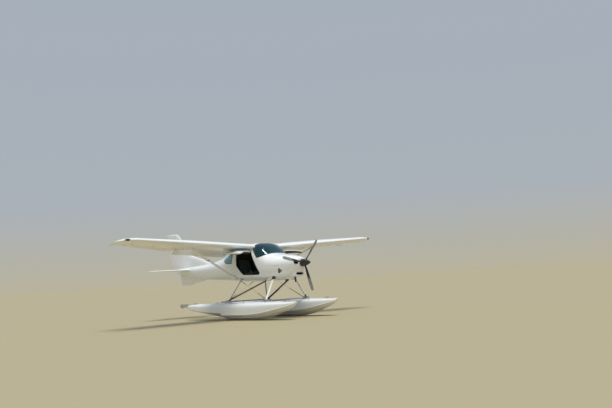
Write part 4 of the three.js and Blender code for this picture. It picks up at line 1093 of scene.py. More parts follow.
blade_black = blade_finish()
SPINNER_TIP_Y = SPINNER_BACK_Y - SPINNER[-1][1]
dome = loft([[(s * r, SPINNER_TIP_Y + back, PROP_Z + c * r) for c, s in circle(64)] for r, back in SPINNER])
turns = [radians(BLADE_ANGLE) + k * tau / 3 for k in range(3)]
slot_radius = BLADE[0][1] / 2 + 0.0006
slots = [rod((sin(t) * 0.02, 0, cos(t) * 0.02), (sin(t) * 0.16, 0, cos(t) * 0.16), slot_radius, sides=40,
             at=(0, PROP_Y, PROP_Z)) for t in turns]
cut(dome, on_axis(HUB_FRONT - HUB_GAP, SPINNER_BACK_Y + 0.01, HUB_RADIUS + HUB_GAP), *slots)
dress(dome, "spinner_cup", spinner_bronze, "spinner", body="propeller", sharp=40)
hub = on_axis(HUB_FRONT, HUB_BACK, HUB_RADIUS)
join(hub, on_axis(HUB_BACK - 0.01, ENGINE_FRONT_Y - HUB_GAP, 0.04))
dress(hub, "hub_and_shaft", engine_metal, "prop_hub", body="propeller")
for k, turn in enumerate(turns):
    blade = cut(blade_solid(turn), on_axis(HUB_FRONT - 0.005, HUB_BACK + 0.005, HUB_RADIUS + HUB_GAP))
    dress(blade, f"blade_{k + 1}", blade_black, f"prop_blade_{k + 1}", body="propeller", sharp=50)

# The cabin is lined with dark felt glued to the shell, up to the edges of the openings, with a curtain of
# the same felt behind the seats. The floor is a carpeted board, and the baggage space behind the curtain is
# bare white.
LINING_GAP, LINING_THICKNESS = 0.0006, 0.003
LINING_FRONT_Y, LINING_BACK_Y = FIREWALL_Y + CABIN_WALL + 0.002, -0.612
FLOOR_TOP, FLOOR_BOARD, BULKHEAD_Y = 1.086, 0.01, 0.1


def build_weave():
    """Threads that cross, with lint on them, for every cloth in the cabin."""
    group, given, result = node_group("woven_threads", "ShaderNodeTree", {"Threads": "Float"},
                                      {"Weave": "Float", "Lint": "Float"})
    place = object_place(group)
    across_way, along_way, depth_way = (add_node(group, "TexWave", {"bands_direction": way}, Vector=place,
                                                 Scale=given["Threads"]).outputs["Fac"] for way in "XZY")
    threads = maths(group, "MULTIPLY", across_way, maths(group, "MAXIMUM", along_way, depth_way))
    fluff = add_node(group, "TexNoise", Vector=place, Scale=26.0, Detail=6.0, Roughness=0.7)
    lint = add_node(group, "MapRange", Value=fluff, From_Min=0.45, From_Max=0.75)
    fill(result, Weave=threads, Lint=lint)
    return group


woven_threads = build_weave()


def cloth(name, colour, worn, threads=300.0, sheen=0.3):
    """Woven or felted cloth, a little faded where it is rubbed."""
    material, tree, shader = new_material(name)
    weave = group_node(tree, woven_threads, Threads=threads)
    faded = mixed_colour(tree, weave["Lint"], colour, worn)
    fill(shader, Base_Color=mixed_colour(tree, weave["Weave"], shaded(colour, 0.55), faded),
         Normal=bumped(tree, 0.4, 0.0008, weave["Weave"]), Roughness=0.92, Sheen_Weight=sheen,
         Specular_IOR_Level=0.2)
    return material


lining_felt = cloth("lining_felt", (0.03, 0.031, 0.034), (0.05, 0.05, 0.054), 420.0)
floor_carpet = cloth("floor_carpet", (0.024, 0.023, 0.022), (0.075, 0.068, 0.058), 260.0)


lining = fuselage(LINING_FRONT_Y, LINING_BACK_Y, CABIN_WALL + LINING_GAP)
inner_room = fuselage(LINING_FRONT_Y + LINING_THICKNESS, LINING_BACK_Y - LINING_THICKNESS,
                      CABIN_WALL + LINING_GAP + LINING_THICKNESS)
room_shape = copy_of(inner_room)
cut(lining, inner_room, across(drawn_in(DOORWAY, -0.004), 0.04), across(drawn_in(WINDSHIELD, -0.004), 0.02),
    across(drawn_in(REAR_WINDOW, -0.004)))
dress(lining, "cabin_lining", lining_felt)
board = keep(copy_of(room_shape),
             block((-0.7, LINING_FRONT_Y, FLOOR_TOP - FLOOR_BOARD), (0.7, LINING_BACK_Y, FLOOR_TOP)))
dress(board, "floor_board", floor_carpet)
bulkhead = keep(fuselage(BULKHEAD_Y, BULKHEAD_Y + 0.008, CABIN_WALL + LINING_GAP),
                block((-0.7, 0.0, 1.0), (0.7, 0.2, 2.2)))
dress(bulkhead, "baggage_bulkhead", white_gelcoat)

# The two seats are hard composite buckets bonded to the floor, with a cushion and a back pad in dark cloth,
# each sewn in channels with a corded edge. A box between them carries the flap lever and the trim wheel.
SEAT_X, SEAT_WIDTH = 0.24, 0.392
BUCKET_OUTLINE = [(-1.326, 1.1), (-1.33, 1.176), (-1.25, 1.188), (-0.872, 1.166), (-0.706, 1.65),
                  (-0.664, 1.646), (-0.668, 1.62), (-0.816, 1.14), (-0.834, 1.1)]
# middle y and z, lean back in degrees, length, thickness, crown, channels
CUSHION = (-1.098, 1.232, -3.5, 0.44, 0.088, 0.014, 5)
BACK_PAD = (-0.806, 1.456, 70.0, 0.43, 0.07, 0.012, 6)
CHANNEL_DEPTH, CHANNEL_WIDTH, PIPING_RADIUS = 0.007, 0.035, 0.0035
PUFF_CAP, PUFF_VOXEL, PUFF_PRESSURE, PUFF_FRAMES = 0.009, 0.006, 4.0, 16


def pad_shape(width, length, thick, crown, channels, steps=44):
    """A flat sewn pad: crowned above, drawn in between its corners, with sewn channels across it."""
    def spot(u, v, side):
        plan_x = u * width / 2 * (1 - 0.03 * (1 - v * v)) * (1 - 0.05 * v ** 10)
        plan_y = v * length / 2 * (1 - 0.02 * (1 - u * u)) * (1 - 0.05 * u ** 10)
        edge = max(0.0, (1 - u ** 8) * (1 - v ** 8))
        height = side * thick / 2 * edge ** 0.38
        if side > 0:
            seams = [(-1 + 2 * k / channels) for k in range(1, channels)]
            sunk = sum(2.718 ** (-((v - s) / CHANNEL_WIDTH) ** 2) for s in seams)
            height += crown * (1 - u * u) * (1 - v * v) - CHANNEL_DEPTH * sunk * edge ** 0.5
        return plan_x, plan_y, height

    grid = [-cos(k / steps * pi) * 0.35 + (2 * k / steps - 1) * 0.65 for k in range(steps + 1)]
    points, index, faces = [], {}, []
    for side in (1, -1):
        for i, u in enumerate(grid):
            for j, v in enumerate(grid):
                rim = i in (0, steps) or j in (0, steps)
                if rim and (1, i, j) in index:
                    index[side, i, j] = index[1, i, j]
                else:
                    index[side, i, j] = len(points)
                    points.append(spot(u, v, side))
        for i in range(steps):
            for j in range(steps):
                faces.append((index[side, i, j], index[side, i + 1, j], index[side, i + 1, j + 1],
                              index[side, i, j + 1]))
    rim = [(k, 0) for k in range(steps)] + [(steps, k) for k in range(steps)]
    rim += [(steps - k, steps) for k in range(steps)] + [(0, steps - k) for k in range(steps)]
    return solid_object(points, faces), [Vector(points[index[1, i, j]]) for i, j in rim]


def puffed(piece):
    """Blows a pad up as cloth from inside, no point by more than the cap, and keeps the result."""
    fine = piece.modifiers.new("fine", "REMESH")
    fine.mode, fine.voxel_size = "VOXEL", PUFF_VOXEL
    settled(piece)
    resting = [v.co.copy() for v in piece.data.vertices]
    fabric = piece.modifiers.new("fabric", "CLOTH")
    fabric.settings.use_pressure = True
    fabric.settings.uniform_pressure_force = PUFF_PRESSURE
    fabric.settings.effector_weights.gravity = 0
    fabric.settings.quality = 4
    fabric.point_cache.frame_end = PUFF_FRAMES
    for frame_number in range(1, PUFF_FRAMES + 1):
        scene.frame_set(frame_number)
    settled(piece)
    for vertex, rest in zip(piece.data.vertices, resting):
        moved = vertex.co - rest
        vertex.co = rest + moved * min(1.0, PUFF_CAP / max(moved.length, 1e-9))
    scene.frame_set(1)
    return piece


def path_tube(points, radius, closed=False, resolution=3):
    """A round cord or wire along a line of points."""
    curve = bpy.data.curves.new("path", "CURVE")
    curve.dimensions, curve.use_fill_caps = "3D", True
    curve.bevel_depth, curve.bevel_resolution = radius, resolution
    line = curve.splines.new("POLY")
    line.points.add(len(points) - 1)
    for spot, point in zip(line.points, points):
        spot.co = (*point, 1)
    line.use_cyclic_u = closed
    carrier = new_object("path", curve)
    mesh = baked(carrier)
    bpy.data.objects.remove(carrier)
    return new_object("tube", mesh)


def gathered(*pieces):
    """Several solids that don't need to be fused, in one mesh."""
    whole = bmesh.new()
    for piece in pieces:
        whole.from_mesh(piece.data)
        bpy.data.objects.remove(piece)
    mesh = bpy.data.meshes.new("gathered")
    bmesh.ops.recalc_face_normals(whole, faces=whole.faces)
    whole.to_mesh(mesh)
    whole.free()
    return new_object("gathered", mesh)


def leaned(place, lean):
    """The turn and shift that lays a flat pad in its place, leaning back."""
    return Matrix.Translation(place) @ Matrix.Rotation(radians(lean), 4, "X")


seat_weave = cloth("seat_weave", (0.034, 0.034, 0.04), (0.085, 0.085, 0.095), 240.0)
edge_cord = cloth("edge_cord", (0.055, 0.056, 0.062), (0.1, 0.1, 0.11), 500.0)
belt_webbing = cloth("belt_webbing", (0.026, 0.026, 0.03), (0.07, 0.068, 0.066), 700.0, 0.15)


def moulded_plastic(name, colour, rough=0.55, grain=900.0):
    """Moulded plastic or painted composite with a fine leather grain and scuffs."""
    scuffed = tuple(c * 1.8 + 0.02 for c in colour)
    material, tree, shader, _ = dusty(name, 7.0, colour, scuffed, (rough - 0.08, rough + 0.18))
    cells = add_node(tree, "TexVoronoi", Vector=object_place(tree), Scale=grain).outputs["Distance"]
    fill(shader, Normal=bumped(tree, 0.25, 0.0004, cells))
    return material


panel_black = moulded_plastic("panel_black", (0.02, 0.02, 0.022))
bucket = softened(side_prism(BUCKET_OUTLINE, SEAT_X - 0.196, SEAT_X + 0.196), 0.008)
console = softened(block((-0.058, -1.298, 1.1), (0.058, -0.866, 1.236)), 0.014, 3)
lever_slot = block((-0.008, -1.2, 1.232), (0.008, -0.98, 1.24))
cut(console, lever_slot)
join(bucket, console, mirrored(bucket))
keep(bucket, copy_of(room_shape))
dress(bucket, "seat_buckets", panel_black, "seats")
PADS = {"cushion": CUSHION, "back_pad": BACK_PAD}
for label, (mid_y, mid_z, lean, length, thick, crown, channels) in PADS.items():
    pad, rim = pad_shape(SEAT_WIDTH - 0.02, length, thick, crown, channels)
    puffed(pad)
    lay = leaned((SEAT_X, mid_y, mid_z), lean)
    pad.data.transform(lay)
    cord = path_tube([lay @ p for p in rim], PIPING_RADIUS, closed=True)
    for piece in mirror_pair(pad, f"seat_{label}", seat_weave, sharp=60):
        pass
    mirror_pair(cord, f"seat_{label}_edge", edge_cord)


def strap(points, wide, width, thickness=0.0016):
    """Flat webbing along a line of points, its width along one way."""
    wide = Vector(wide).normalized()
    points = [Vector(p) for p in points]
    rings = []
    for i, p in enumerate(points):
        run = (points[min(i + 1, len(points) - 1)] - points[max(i - 1, 0)]).normalized()
        flat = run.cross(wide).normalized()
        side = flat.cross(run).normalized() * width / 2
        lift = flat * thickness / 2
        rings.append([p + side + lift, p + side - lift, p - side - lift, p - side + lift])
    return loft(rings)


LAP_BELT = [(0.062, -0.9, 1.22), (0.07, -0.94, 1.27), (0.11, -0.975, 1.304), (0.16, -1.0, 1.314),
            (0.215, -1.01, 1.317)]
SHOULDER_BELT = [(0.3, -0.66, 1.69), (0.296, -0.7, 1.702), (0.292, -0.765, 1.64), (0.286, -0.83, 1.54),
                 (0.276, -0.885, 1.43), (0.262, -0.94, 1.35), (0.246, -0.99, 1.322)]
belts = []
for line, wide, width in ((LAP_BELT, (0, 1, -0.2), 0.045), (SHOULDER_BELT, (1, 0, 0), 0.04)):
    for half in (line, [(2 * SEAT_X - x, y, z) for x, y, z in line]):
        belts.append(strap(half, wide, width))
mirror_pair(gathered(*belts), "seat_belt", belt_webbing)
buckle = softened(block((SEAT_X - 0.03, -1.042, 1.317), (SEAT_X + 0.03, -0.982, 1.331)), 0.005)
mirror_pair(buckle, "belt_buckle", bare_alloy)
lever = path_tube([(0, -1.06, 1.2), (0, -1.1, 1.262), (0, -1.145, 1.296)], 0.006)
knob = softened(block((-0.013, -1.185, 1.286), (0.013, -1.14, 1.314)), 0.009, 3)
trim_wheel = rod((-0.04, -0.94, 1.226), (-0.024, -0.94, 1.226), 0.045, sides=48)
dress(gathered(lever, knob, trim_wheel), "flap_lever_and_trim", black_rubber, sharp=40)

# The instrument panel is a black sheet under a soft glare shield, with round dials, two blank screens, a
# row of switches and two push knobs. The marks on the dials are plain strokes.
PANEL_FOOT, PANEL_TOP, PANEL_FLOOR_Y = (-1.75, 1.4), (-1.69, 1.68), -1.81
PANEL_UP = Vector((0, PANEL_TOP[0] - PANEL_FOOT[0], PANEL_TOP[1] - PANEL_FOOT[1]))
PANEL_OUT = Vector((0, PANEL_UP.z, -PANEL_UP.y)).normalized()
PANEL_OUTLINE = [(PANEL_FLOOR_Y, 1.42), PANEL_FOOT, PANEL_TOP, (-1.74, 1.716), (-1.86, 1.726)]
# place across, share of the panel's height, radius
DIALS = [(0.395, 0.66, 0.034), (0.31, 0.66, 0.042), (0.215, 0.66, 0.042), (0.31, 0.3, 0.042),
         (0.215, 0.3, 0.034), (0.395, 0.3, 0.028), (-0.395, 0.66, 0.034), (-0.31, 0.62, 0.042),
         (-0.395, 0.28, 0.028), (-0.32, 0.22, 0.028)]
# place across, share of the height, half width, half height
SCREENS = [(0.04, 0.58, 0.11, 0.078), (-0.2, 0.6, 0.06, 0.045)]
SWITCHES, SWITCH_STEP, SWITCH_SHARE = 9, 0.034, 0.13
DIAL_MARKS, MARK_SIZE = 24, (0.0018, 0.006, 0.0006)


def on_panel(x, share, out=0.0):
    """A place on the panel's face, raised from it."""
    return Vector((x, PANEL_FOOT[0], PANEL_FOOT[1])) + PANEL_UP * share + PANEL_OUT * out


def panel_rod(x, share, low, high, *sizes, sides=32):
    """A round bar that stands square on the panel's face, between two distances from it."""
    return rod(on_panel(x, share, low), on_panel(x, share, high), *sizes, sides=sides)


def standing(piece, at, out, along=(0, 1, 0)):
    """Moves a piece made flat at the origin to a place, its top to the way out, its Y to the way along."""
    out = Vector(out).normalized()
    side = Vector(along).cross(out).normalized()
    axes = Matrix((side, out.cross(side), out)).transposed()
    piece.data.transform(Matrix.Translation(at) @ axes.to_4x4())
    return piece


def panel_block(x, share, half_width, half_height, low, high):
    """A block that lies square on the panel's face."""
    piece = block((-half_width, -half_height, low), (half_width, half_height, high))
    return standing(piece, on_panel(x, share), PANEL_OUT, PANEL_UP)


def set_out_tree(name, sizes, small_solid, runs_along):
    """A node tree that puts a small solid on each point, its top to the point's way out."""
    tree, given, result = node_group(name, "GeometryNodeTree",
                                     {"Geometry": "Geometry", **sizes, "Finish": "Material"},
                                     {"Geometry": "Geometry"})

    def aligned(label, settings, **inputs):
        way = add_node(tree, "GeometryNodeInputNamedAttribute", {"data_type": "FLOAT_VECTOR"}, Name=label)
        return add_node(tree, "FunctionNodeAlignRotationToVector", settings, Vector=way, **inputs)

    turn = aligned("out", {"axis": "Z"})
    if runs_along:
        turn = aligned("along", {"axis": "Y", "pivot_axis": "Z"}, Rotation=turn)
    placed = add_node(tree, "GeometryNodeInstanceOnPoints", Points=given["Geometry"],
                      Instance=small_solid(tree, given), Rotation=turn)
    real = add_node(tree, "GeometryNodeRealizeInstances", Geometry=placed)
    fill(result, Geometry=add_node(tree, "GeometryNodeSetMaterial", Geometry=real, Material=given["Finish"]))
    return tree


def small_bar(tree, given):
    size = add_node(tree, "CombineXYZ", X=given["Width"], Y=given["Length"], Z=given["Height"])
    return add_node(tree, "GeometryNodeMeshCube", Size=size)


def set_out(name, tree, spots, **values):
    """Runs a node tree on places with a way out and a way along (backward if not given)."""
    spots = [(*spot, (0, 1, 0))[:3] for spot in spots]
    mesh = bpy.data.meshes.new(name)
    mesh.from_pydata([tuple(s[0]) for s in spots], [], [])
    for label, k in (("out", 1), ("along", 2)):
        layer = mesh.attributes.new(label, "FLOAT_VECTOR", "POINT")
        layer.data.foreach_set("vector", [c for s in spots for c in s[k]])
    piece = new_object(name, mesh)
    step = piece.modifiers.new("set out", "NODES")
    step.node_group = tree
    inputs = {item.name: item.identifier for item in tree.interface.items_tree if item.in_out == "INPUT"}
    for label, value in values.items():
        step[inputs[label]] = value
    return settled(piece)


bars_tree = set_out_tree("set_out_bars", dict.fromkeys(("Width", "Length", "Height"), "Float"), small_bar,
                         True)
sheet_metal = keep(side_prism(PANEL_OUTLINE, -0.6, 0.6), copy_of(room_shape))
for x, share, radius in DIALS:
    cut(sheet_metal, panel_rod(x, share, -0.008, 0.02, radius * 0.86))
dress(sheet_metal, "panel_board", panel_black, "instrument_panel")
bezels, faces, needles, marks = [], [], [], []
for k, (x, share, radius) in enumerate(DIALS):
    ring = panel_rod(x, share, -0.006, 0.005, radius, radius * 0.94, sides=40)
    bezels.append(cut(ring, panel_rod(x, share, -0.02, 0.02, radius * 0.8, sides=40)))
    faces.append(panel_rod(x, share, -0.0075, -0.005, radius * 0.855, sides=40))
    for m in range(DIAL_MARKS):
        turn = m / DIAL_MARKS * tau
        along = Vector((sin(turn), 0, 0)) + PANEL_UP.normalized() * cos(turn)
        marks.append((on_panel(x, share, -0.0046) + along * radius * 0.68, PANEL_OUT, along))
    turn = k * 2.1
    along = Vector((sin(turn), 0, 0)) + PANEL_UP.normalized() * cos(turn)
    centre = on_panel(x, share, -0.003)
    needles.append(rod(centre, centre + along * radius * 0.6, 0.0016, 0.0006, 8))
for x, share, half_width, half_height in SCREENS:
    bezels.append(softened(panel_block(x, share, half_width, half_height, -0.002, 0.012), 0.005))
dress(gathered(*bezels), "dial_rings", black_rubber, sharp=40)
dark_glass = moulded_plastic("dark_glass", (0.01, 0.013, 0.017), 0.14, 20.0)
screens = [panel_block(x, share, half_width - 0.009, half_height - 0.009, 0.01, 0.0126)
           for x, share, half_width, half_height in SCREENS]
dress(gathered(*faces, *screens), "dial_faces", dark_glass)
pale_marks = moulded_plastic("pale_marks", (0.62, 0.63, 0.6), 0.5)
strokes = set_out("strokes", bars_tree, marks, Width=MARK_SIZE[0], Length=MARK_SIZE[1], Height=MARK_SIZE[2],
                  Finish=pale_marks)
dress(gathered(strokes, *needles), "dial_marks", pale_marks)
switches = []
for k in range(SWITCHES):
    x = (k - (SWITCHES - 1) / 2) * SWITCH_STEP
    switches.append(panel_rod(x, SWITCH_SHARE, -0.001, 0.004, 0.007, sides=16))
    switches.append(rod(on_panel(x, SWITCH_SHARE, 0.002), on_panel(x, SWITCH_SHARE + 0.02, 0.02), 0.0026,
                        0.0036, 12))
for x, reach in ((0.1, 0.055), (-0.06, 0.04)):
    switches.append(panel_rod(x, 0.27, -0.001, reach, 0.004, sides=16))
    switches.append(softened(panel_rod(x, 0.27, reach, reach + 0.02, 0.014, 0.016, sides=24), 0.003))
dress(gathered(*switches), "panel_switches", bare_alloy)
# the shield's cross-section, from its padded lip forward
GLARE_OUTLINE = [(-1.672, 1.684), (-1.668, 1.694), (-1.7, 1.712), (-1.86, 1.742), (-1.96, 1.72),
                 (-1.96, 1.708), (-1.86, 1.729), (-1.74, 1.7175)]
glare = keep(side_prism(GLARE_OUTLINE, -0.6, 0.6), room_shape)
dress(glare, "glare_shield", lining_felt)

# Each seat has a control stick on a cross tube behind the pedals, with a rubber grip shaped for the
# fingers. The rudder pedals hang on a tube under the panel.
STICK_X, STICK_TUBE_Y, STICK_TUBE_Z = 0.24, -1.5, 1.1
STICK_LINE = [(-1.5, 1.096), (-1.508, 1.16), (-1.52, 1.23), (-1.521, 1.275), (-1.506, 1.31)]
GRIP_START, GRIP_END = Vector((STICK_X, -1.513, 1.296)), Vector((STICK_X, -1.489, 1.404))
GRIP_RADII = [0.012, 0.015, 0.0158, 0.0145, 0.0158, 0.0145, 0.0158, 0.0148, 0.016, 0.0165, 0.015, 0.009]
PEDAL_Y = -1.88
grip_rings = []
grip_way = (GRIP_END - GRIP_START).normalized()
grip_side, grip_fore = Vector((1, 0, 0)), Vector((1, 0, 0)).cross(grip_way)
for k, radius in enumerate(GRIP_RADII):
    centre = GRIP_START.lerp(GRIP_END, k / (len(GRIP_RADII) - 1))
    grip_rings.append([centre + (grip_side * c * 0.92 + grip_fore * s) * radius for c, s in circle(24)])
grip = loft(grip_rings)
boot = rod((STICK_X, -1.5, FLOOR_TOP), (STICK_X, -1.504, FLOOR_TOP + 0.05), 0.04, 0.014, 32)
pedals = []
for offset in (-0.075, 0.075):
    at = (STICK_X + offset, PEDAL_Y, 0)
    pedals.append(softened(block((-0.035, -0.012, 1.19), (0.035, 0, 1.29), at), 0.004))
    pedals.append(rod((0, -0.008, 1.285), (0, -0.03, 1.392), 0.007, sides=16, at=at))
post = path_tube([(STICK_X, y, z) for y, z in STICK_LINE], 0.01, resolution=4)
cross = rod((0.02, STICK_TUBE_Y, STICK_TUBE_Z), (STICK_X + 0.012, STICK_TUBE_Y, STICK_TUBE_Z), 0.01)
hanger = rod((0.1, PEDAL_Y - 0.03, 1.392), (0.38, PEDAL_Y - 0.03, 1.392), 0.009)
metalwork = gathered(post, cross, hanger, *pedals)
dress(gathered(metalwork, mirrored(metalwork)), "stick_posts_and_pedals", black_paint, "control_sticks")
mirror_pair(gathered(grip, boot), "stick_grip", black_rubber, sharp=50)

# The engine is a flat four with finned cylinders behind a reduction gearbox, on a tube frame bolted to the
# firewall. The stub of a nose leg comes down through the cowling.
CRANKCASE_LOW, CRANKCASE_HIGH = (-0.082, -2.5, 1.335), (0.082, -2.2, 1.475)
CYLINDER_PLACES, CYLINDER_Z, CYLINDER_RADIUS, HEAD_X = (-2.435, -2.285), 1.405, 0.046, 0.166
FIN_COUNT, FIN_SIDE, FIN_THICKNESS = 7, 0.112, 0.003
crankcase = softened(block(CRANKCASE_LOW, CRANKCASE_HIGH), 0.014, 3)
gearbox = softened(on_axis(-2.598, -2.485, 0.078), 0.008)
cylinders, fins = [], []
for side in (1, -1):
    for y in CYLINDER_PLACES:
        for k in range(FIN_COUNT):
            x = side * (0.092 + (HEAD_X - 0.1) * k / (FIN_COUNT - 1))
            fins.append(((x, y, CYLINDER_Z), (side, 0, 0)))
        cylinders += [
            rod((side * 0.07, y, CYLINDER_Z), (side * HEAD_X, y, CYLINDER_Z), CYLINDER_RADIUS),
            path_tube([(side * 0.12, y, CYLINDER_Z + 0.03), (side * 0.12, y + 0.02, 1.478),
                       (side * 0.11, -2.19, 1.496)], 0.013),
            path_tube([(side * 0.12, y, CYLINDER_Z - 0.03), (side * 0.1, y + 0.02, 1.33),
                       (side * 0.03, y + 0.05, 1.292)], 0.014)]
    cylinders += [
        softened(rod((side * 0.11, -2.2, 1.496), (side * 0.11, -2.11, 1.496), 0.032), 0.005),
        rod((side * 0.075, -2.21, 1.35), (side * 0.2, -2.062, 1.25), 0.01),
        rod((side * 0.075, -2.21, 1.46), (side * 0.2, -2.062, 1.54), 0.01),
        rod((side * 0.06, -2.45, 1.345), (0, STUB_Y, 1.235), 0.01)]
cylinders.append(softened(rod((0, -2.42, 1.29), (0, -2.16, 1.29), 0.032), 0.008))
fin_plates = set_out("fins", bars_tree, fins, Width=FIN_SIDE, Length=FIN_SIDE, Height=FIN_THICKNESS,
                     Finish=engine_metal)
dress(gathered(crankcase, gearbox, fin_plates, *cylinders), "flat_four_engine", engine_metal, "engine_block")
stub = rod((0, STUB_Y, 0.9602), (0, STUB_Y, 1.25), STUB_RADIUS - 0.0006)
cut(stub, rod((-0.1, STUB_Y, 0.985), (0.1, STUB_Y, 0.985), 0.006))
collar = softened(rod((0, STUB_Y, 1.02), (0, STUB_Y, 1.044), STUB_RADIUS + 0.006), 0.003)
dress(gathered(stub, collar), "nose_leg_stub", black_paint, sharp=40)

# Rubber seals run round every opening: a flat strip over each pane's edge, and a bulb on the edge of the
# doorways that the closed doors press on.
SEAL_PROUD, SEAL_DEPTH, SEAL_IN, SEAL_OUT = 0.0009, 0.003, 0.007, 0.006
DOOR_SPAN = -1.8, -0.7


def edge_strip(start, end, outline, radius, proud=SEAL_PROUD, depth=SEAL_DEPTH, inner=SEAL_IN,
               outer=SEAL_OUT):
    """A strip that follows the skin on both sides of an outline's edge."""
    strip = skin_layer(start, end, -proud, depth)
    keep(strip, across(drawn_in(outline, -outer), radius + outer))
    return cut(strip, across(drawn_in(outline, inner), radius))


window_seals = edge_strip(-0.75, 0.1, REAR_WINDOW, CORNER_RADIUS)
screen_seal = edge_strip(-2.0, -1.3, WINDSHIELD, 0.02)
doorway_seal = edge_strip(*DOOR_SPAN, DOORWAY, 0.04, -0.006, 0.024, 0.0048, 0.0002)
dress(gathered(window_seals, screen_seal, doorway_seal), "opening_seals", black_rubber, sharp=40)

# Inside, each door carries a trim panel of the dark lining felt, a seal and a pull strap, and a lever latch
# with a flush plate on the outside. The trim's dark felt also stands for painted shade on the underside of
# the swung-up door. All of it swings with the door.
TRIM_EDGE, TRIM_WINDOW, TRIM_THICKNESS = 0.01, 0.01, 0.004
LATCH_Y, LATCH_Z, LATCH_HALF, LATCH_HEIGHT = -1.25, 1.3, 0.052, 0.015


def skin_at(y, z, margin=0.0):
    """The place on the left-hand skin at a station and a height."""
    bottom, top, half, widest, lower, upper = (smooth(FUSELAGE, c, y) for c in range(1, 7))
    squareness, reach = (lower, widest - bottom - margin) if z < widest else (upper, top - margin - widest)
    share = max(0.0, 1 - (abs(z - widest) / reach) ** squareness)
    return Vector(((half - margin) * share ** (1 / squareness), y, z))


def skin_way(y, z, step=0.004):
    """The way that the left-hand skin faces."""
    along, up = skin_at(y + step, z) - skin_at(y - step, z), skin_at(y, z + step) - skin_at(y, z - step)
    return along.cross(up).normalized()


under_hinge = (0.2, -1.8, 1.1), (0.9, -0.7, 1.82)
# a trim panel of the dark lining felt, whose darkness also stands for painted shade under the swung-up door
trim = skin_layer(*DOOR_SPAN, CABIN_WALL + FIT_GAP, CABIN_WALL + TRIM_THICKNESS)
keep(trim, across(drawn_in(DOORWAY, DOOR_ROOM + TRIM_EDGE), 0.03), block(*under_hinge))
cut(trim, across(drawn_in(DOOR_WINDOW, -TRIM_WINDOW), 0.04))
door_seal = skin_layer(*DOOR_SPAN, CABIN_WALL - 0.001, CABIN_WALL + 0.006)
keep(door_seal, across(drawn_in(DOORWAY, DOOR_ROOM + 0.0015), 0.035), block(*under_hinge))
cut(door_seal, across(drawn_in(DOORWAY, DOOR_ROOM + 0.009), 0.03))
pane_seal = edge_strip(*DOOR_SPAN, DOOR_WINDOW, 0.035)
keep(pane_seal, block(*half_only))
inner_pane_seal = edge_strip(*DOOR_SPAN, DOOR_WINDOW, 0.035, -0.006, CABIN_WALL + TRIM_THICKNESS + 0.001,
                             0.005, 0.003)
keep(inner_pane_seal, block(*half_only))
latch_at, latch_way = skin_at(LATCH_Y, LATCH_Z), skin_way(LATCH_Y, LATCH_Z)
plate = softened(block((-0.022, -LATCH_HALF - 0.012, -0.002), (0.022, LATCH_HALF + 0.012, 0.0016)), 0.001)
lever = softened(block((-0.01, -LATCH_HALF, 0.004), (0.01, LATCH_HALF - 0.02, LATCH_HEIGHT)), 0.004, 3)
boss = rod((0, 0, -0.002), (0, 0, LATCH_HEIGHT - 0.002), 0.013, at=(0, LATCH_HALF - 0.03, 0))
for piece in (plate, lever, boss):
    standing(piece, latch_at, latch_way)
inside_at = skin_at(LATCH_Y, LATCH_Z, CABIN_WALL + TRIM_THICKNESS)
inner_lever = softened(block((-0.009, -0.05, -0.016), (0.009, 0.04, -0.006)), 0.004, 3)
inner_boss = rod((0, 0.025, 0.002), (0, 0.025, -0.016), 0.012)
for piece in (inner_lever, inner_boss):
    standing(piece, inside_at, latch_way)
pull_places = [(-1.42, 1.395), (-1.36, 1.38), (-1.3, 1.374), (-1.24, 1.38), (-1.18, 1.392)]
pull = strap([skin_at(y, z, CABIN_WALL + TRIM_THICKNESS + 0.003 + 0.012 * (k in (1, 2, 3)))
              for k, (y, z) in enumerate(pull_places)], (0, 0, 1), 0.022, 0.003)
for piece in (trim, door_seal, pane_seal, inner_pane_seal, plate, lever, boss, inner_lever, inner_boss, pull):
    turned(piece, door_hinge, (0, 1, 0), -DOOR_OPEN)
mirror_pair(gathered(trim, pull), "door_trim", lining_felt, body="door_{}")
mirror_pair(gathered(door_seal, pane_seal, inner_pane_seal), "door_seals", black_rubber, body="door_{}",
            sharp=40)
mirror_pair(gathered(plate, inner_boss, boss), "latch_plate", bare_alloy, body="door_{}")
mirror_pair(gathered(lever, inner_lever), "latch_lever", black_paint, body="door_{}")

# The cowling is held by quarter-turn fasteners along its joints. It has a three-cornered louvre low on each
# side, fine mesh behind the inlets, a radiator in the scoop and a short exhaust under the belly.
FASTENER_RADIUS, FASTENER_HEIGHT, FASTENER_SPACING = 0.0075, 0.0016, 0.105
RADIATOR_FINS, RADIATOR_Y = 34, -2.63
# how deep the sloping plate in the louvre lies at each corner, and how far it goes in under the skin
RAMP_DEPTHS, RAMP_THICKNESS, RAMP_OVERLAP = (0.062, 0.062, 0.007), 0.002, 0.1


def screw_head(tree, given):
    crown = maths(tree, "MULTIPLY", given["Radius"], 0.78)
    return add_node(tree, "GeometryNodeMeshCone", Vertices=given["Sides"], Radius_Top=crown,
                    Radius_Bottom=given["Radius"], Depth=given["Height"])


def screws(spots, radius, height, finish, sides=12):
    return set_out("screws", screws_tree, spots, Radius=radius, Height=height, Sides=sides, Finish=finish)


def on_both_sides(spots):
    """Places on the left with their ways out, and the same on the right."""
    return [(at * turn, out * turn) for turn in (Vector((1, 1, 1)), Vector((-1, 1, 1))) for at, out in spots]


def ring_spots(y, count):
    """Places round the fuselage at a station, each with the way out."""
    ring = [Vector(p) for p in fuselage_ring(y)]
    spots = []
    for i in range(count):
        k = int((i + 0.5) / count * RING_POINTS)
        spots.append((ring[k], (ring[(k + 1) % RING_POINTS] - ring[k - 1]).cross(Vector((0, 1, 0)))))
    return spots


